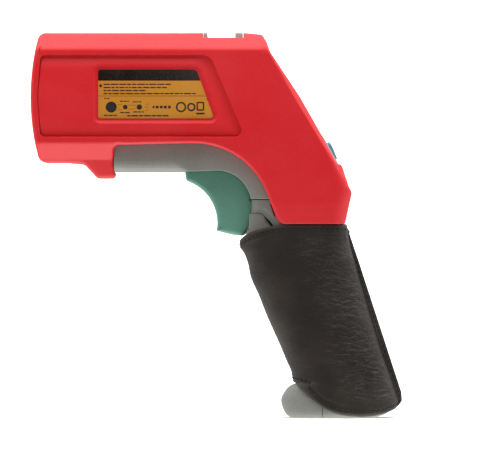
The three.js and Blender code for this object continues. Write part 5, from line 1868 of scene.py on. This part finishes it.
@dataclass
class Studio:
    """Camera, lights and floor."""

    middle: tuple[float, float] = (-0.047, 0.09325)
    view_width: float = 0.240
    distance: float = 3.5
    zenith: float = 2.7
    nadir: float = 2.6
    sides: float = 1.25
    front: float = 0.33
    back: float = 0.75

    def build(self) -> None:
        """Sets the camera, the surrounding light and the floor."""
        scene = bpy.context.scene
        scene.view_settings.view_transform = "Standard"
        lens = bpy.data.cameras.new("camera")
        lens.sensor_width = 36
        lens.lens = 36 * self.distance / self.view_width
        camera = bpy.data.objects.new("camera", lens)
        camera.location = (self.middle[0], -self.distance, self.middle[1])
        camera.rotation_euler = (math.pi / 2, 0, 0)
        scene.collection.objects.link(camera)
        scene.camera = camera
        self.floor(scene)
        self.surround(scene)

    def floor(self, scene: bpy.types.Scene) -> None:
        """A pale floor that sweeps up far behind: height = ((y - 3) / 2) squared past y = 3 m."""
        x, y = np.meshgrid(np.linspace(-6, 6, 3), np.concatenate([[-6, 0, 3], np.linspace(3.2, 7, 16)]))
        z = np.maximum(y - 3, 0) ** 2 / 4
        mesh = bpy.data.meshes.new("floor")
        index = np.arange(x.size).reshape(x.shape)
        quads = np.stack([index[:-1, :-1], index[:-1, 1:], index[1:, 1:], index[1:, :-1]], axis=-1)
        mesh.from_pydata(np.stack([x, y, z - 0.0002], axis=-1).reshape(-1, 3).tolist(), [],
                         quads.reshape(-1, 4).tolist())
        mesh.shade_smooth()
        material = bpy.data.materials.new("pale_floor")
        material.use_nodes = True
        material.node_tree.nodes["Principled BSDF"].inputs["Base Color"].default_value = (0.93, 0.93, 0.93, 1)
        material.node_tree.nodes["Principled BSDF"].inputs["Roughness"].default_value = 0.9
        mesh.materials.append(material)
        floor = bpy.data.objects.new("floor", mesh)
        floor.visible_glossy = False
        floor.visible_diffuse = False
        floor.visible_shadow = False
        scene.collection.objects.link(floor)

    def surround(self, scene: bpy.types.Scene) -> None:
        """Soft light from all round: a broad box above, a lit table below, and a dim front."""
        world = bpy.data.worlds.new("studio")
        scene.world = world
        world.use_nodes = True
        world.node_tree.nodes.clear()
        n = Nodes(world.node_tree)
        way = n.add("SeparateXYZ", {0: n.add("TexCoord").outputs["Generated"]})
        up, ahead = way.outputs["Z"], way.outputs["Y"]
        light = n.scaled(n.ramp(up, 0.45, 0.98), self.zenith, self.sides)
        light = n.scaled(n.ramp(up, -0.72, -0.97), self.nadir, light)
        front = n.product(n.ramp(ahead, -0.1, -0.75), self.sides - self.front)
        back = n.product(n.ramp(ahead, 0.2, 0.8), self.sides - self.back)
        light = n.math("SUBTRACT", n.math("SUBTRACT", light, front), back)
        lit = n.add("Background", {"Color": (1.0, 1.0, 1.0, 1.0), "Strength": light})
        seen = n.add("Background", {"Color": BACKDROP, "Strength": 1.0})
        camera = n.add("LightPath").outputs["Is Camera Ray"]
        both = n.add("MixShader", {0: camera, 1: lit.outputs[0], 2: seen.outputs[0]})
        n.add("OutputWorld", {"Surface": both.outputs[0]})


# -------------------- carried-over nodes

INNER_FINISHES: dict[str, tuple[str, ...]] = {
    "black": ("optical_barrel", "detector_mount", "laser_bracket", "sounder", "battery_cradle",
              "trigger_switch"),
    "steel": ("thermopile_detector", "trigger_pin", "trigger_spring", "battery_spring_left",
              "battery_spring_right", "battery_contact_plate"),
    "board": ("main_board", "display_board"),
    "lcd": ("lcd_glass",),
    "rubber": ("keypad_mat",),
    "cell": ("battery_cell_left", "battery_cell_right"),
    "wire_red": ("battery_lead_red",),
    "wire_black": ("battery_lead_black",),
}


def dress_inner(look: Finishes) -> None:
    """Gives the carried-over CAD nodes their finishes."""
    for finish, names in INNER_FINISHES.items():
        for name in names:
            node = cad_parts[name]
            node.data.materials.clear()
            node.data.materials.append(getattr(look, finish))
            log.info("%s: %s", name, finish)


def main() -> None:
    """Builds the thermometer round the frame, dresses it and lights it."""
    logging.basicConfig(level=logging.INFO, format="%(name)s: %(message)s")
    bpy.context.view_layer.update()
    look = Finishes()
    Studio().build()
    for part in (Housing(), Shoe(), Optics(), RearControls(), UnderFrame(), Trigger(), Grip(), Sleeve()):
        part.build(look)
    dress_inner(look)


if __name__ == "__main__":
    main()
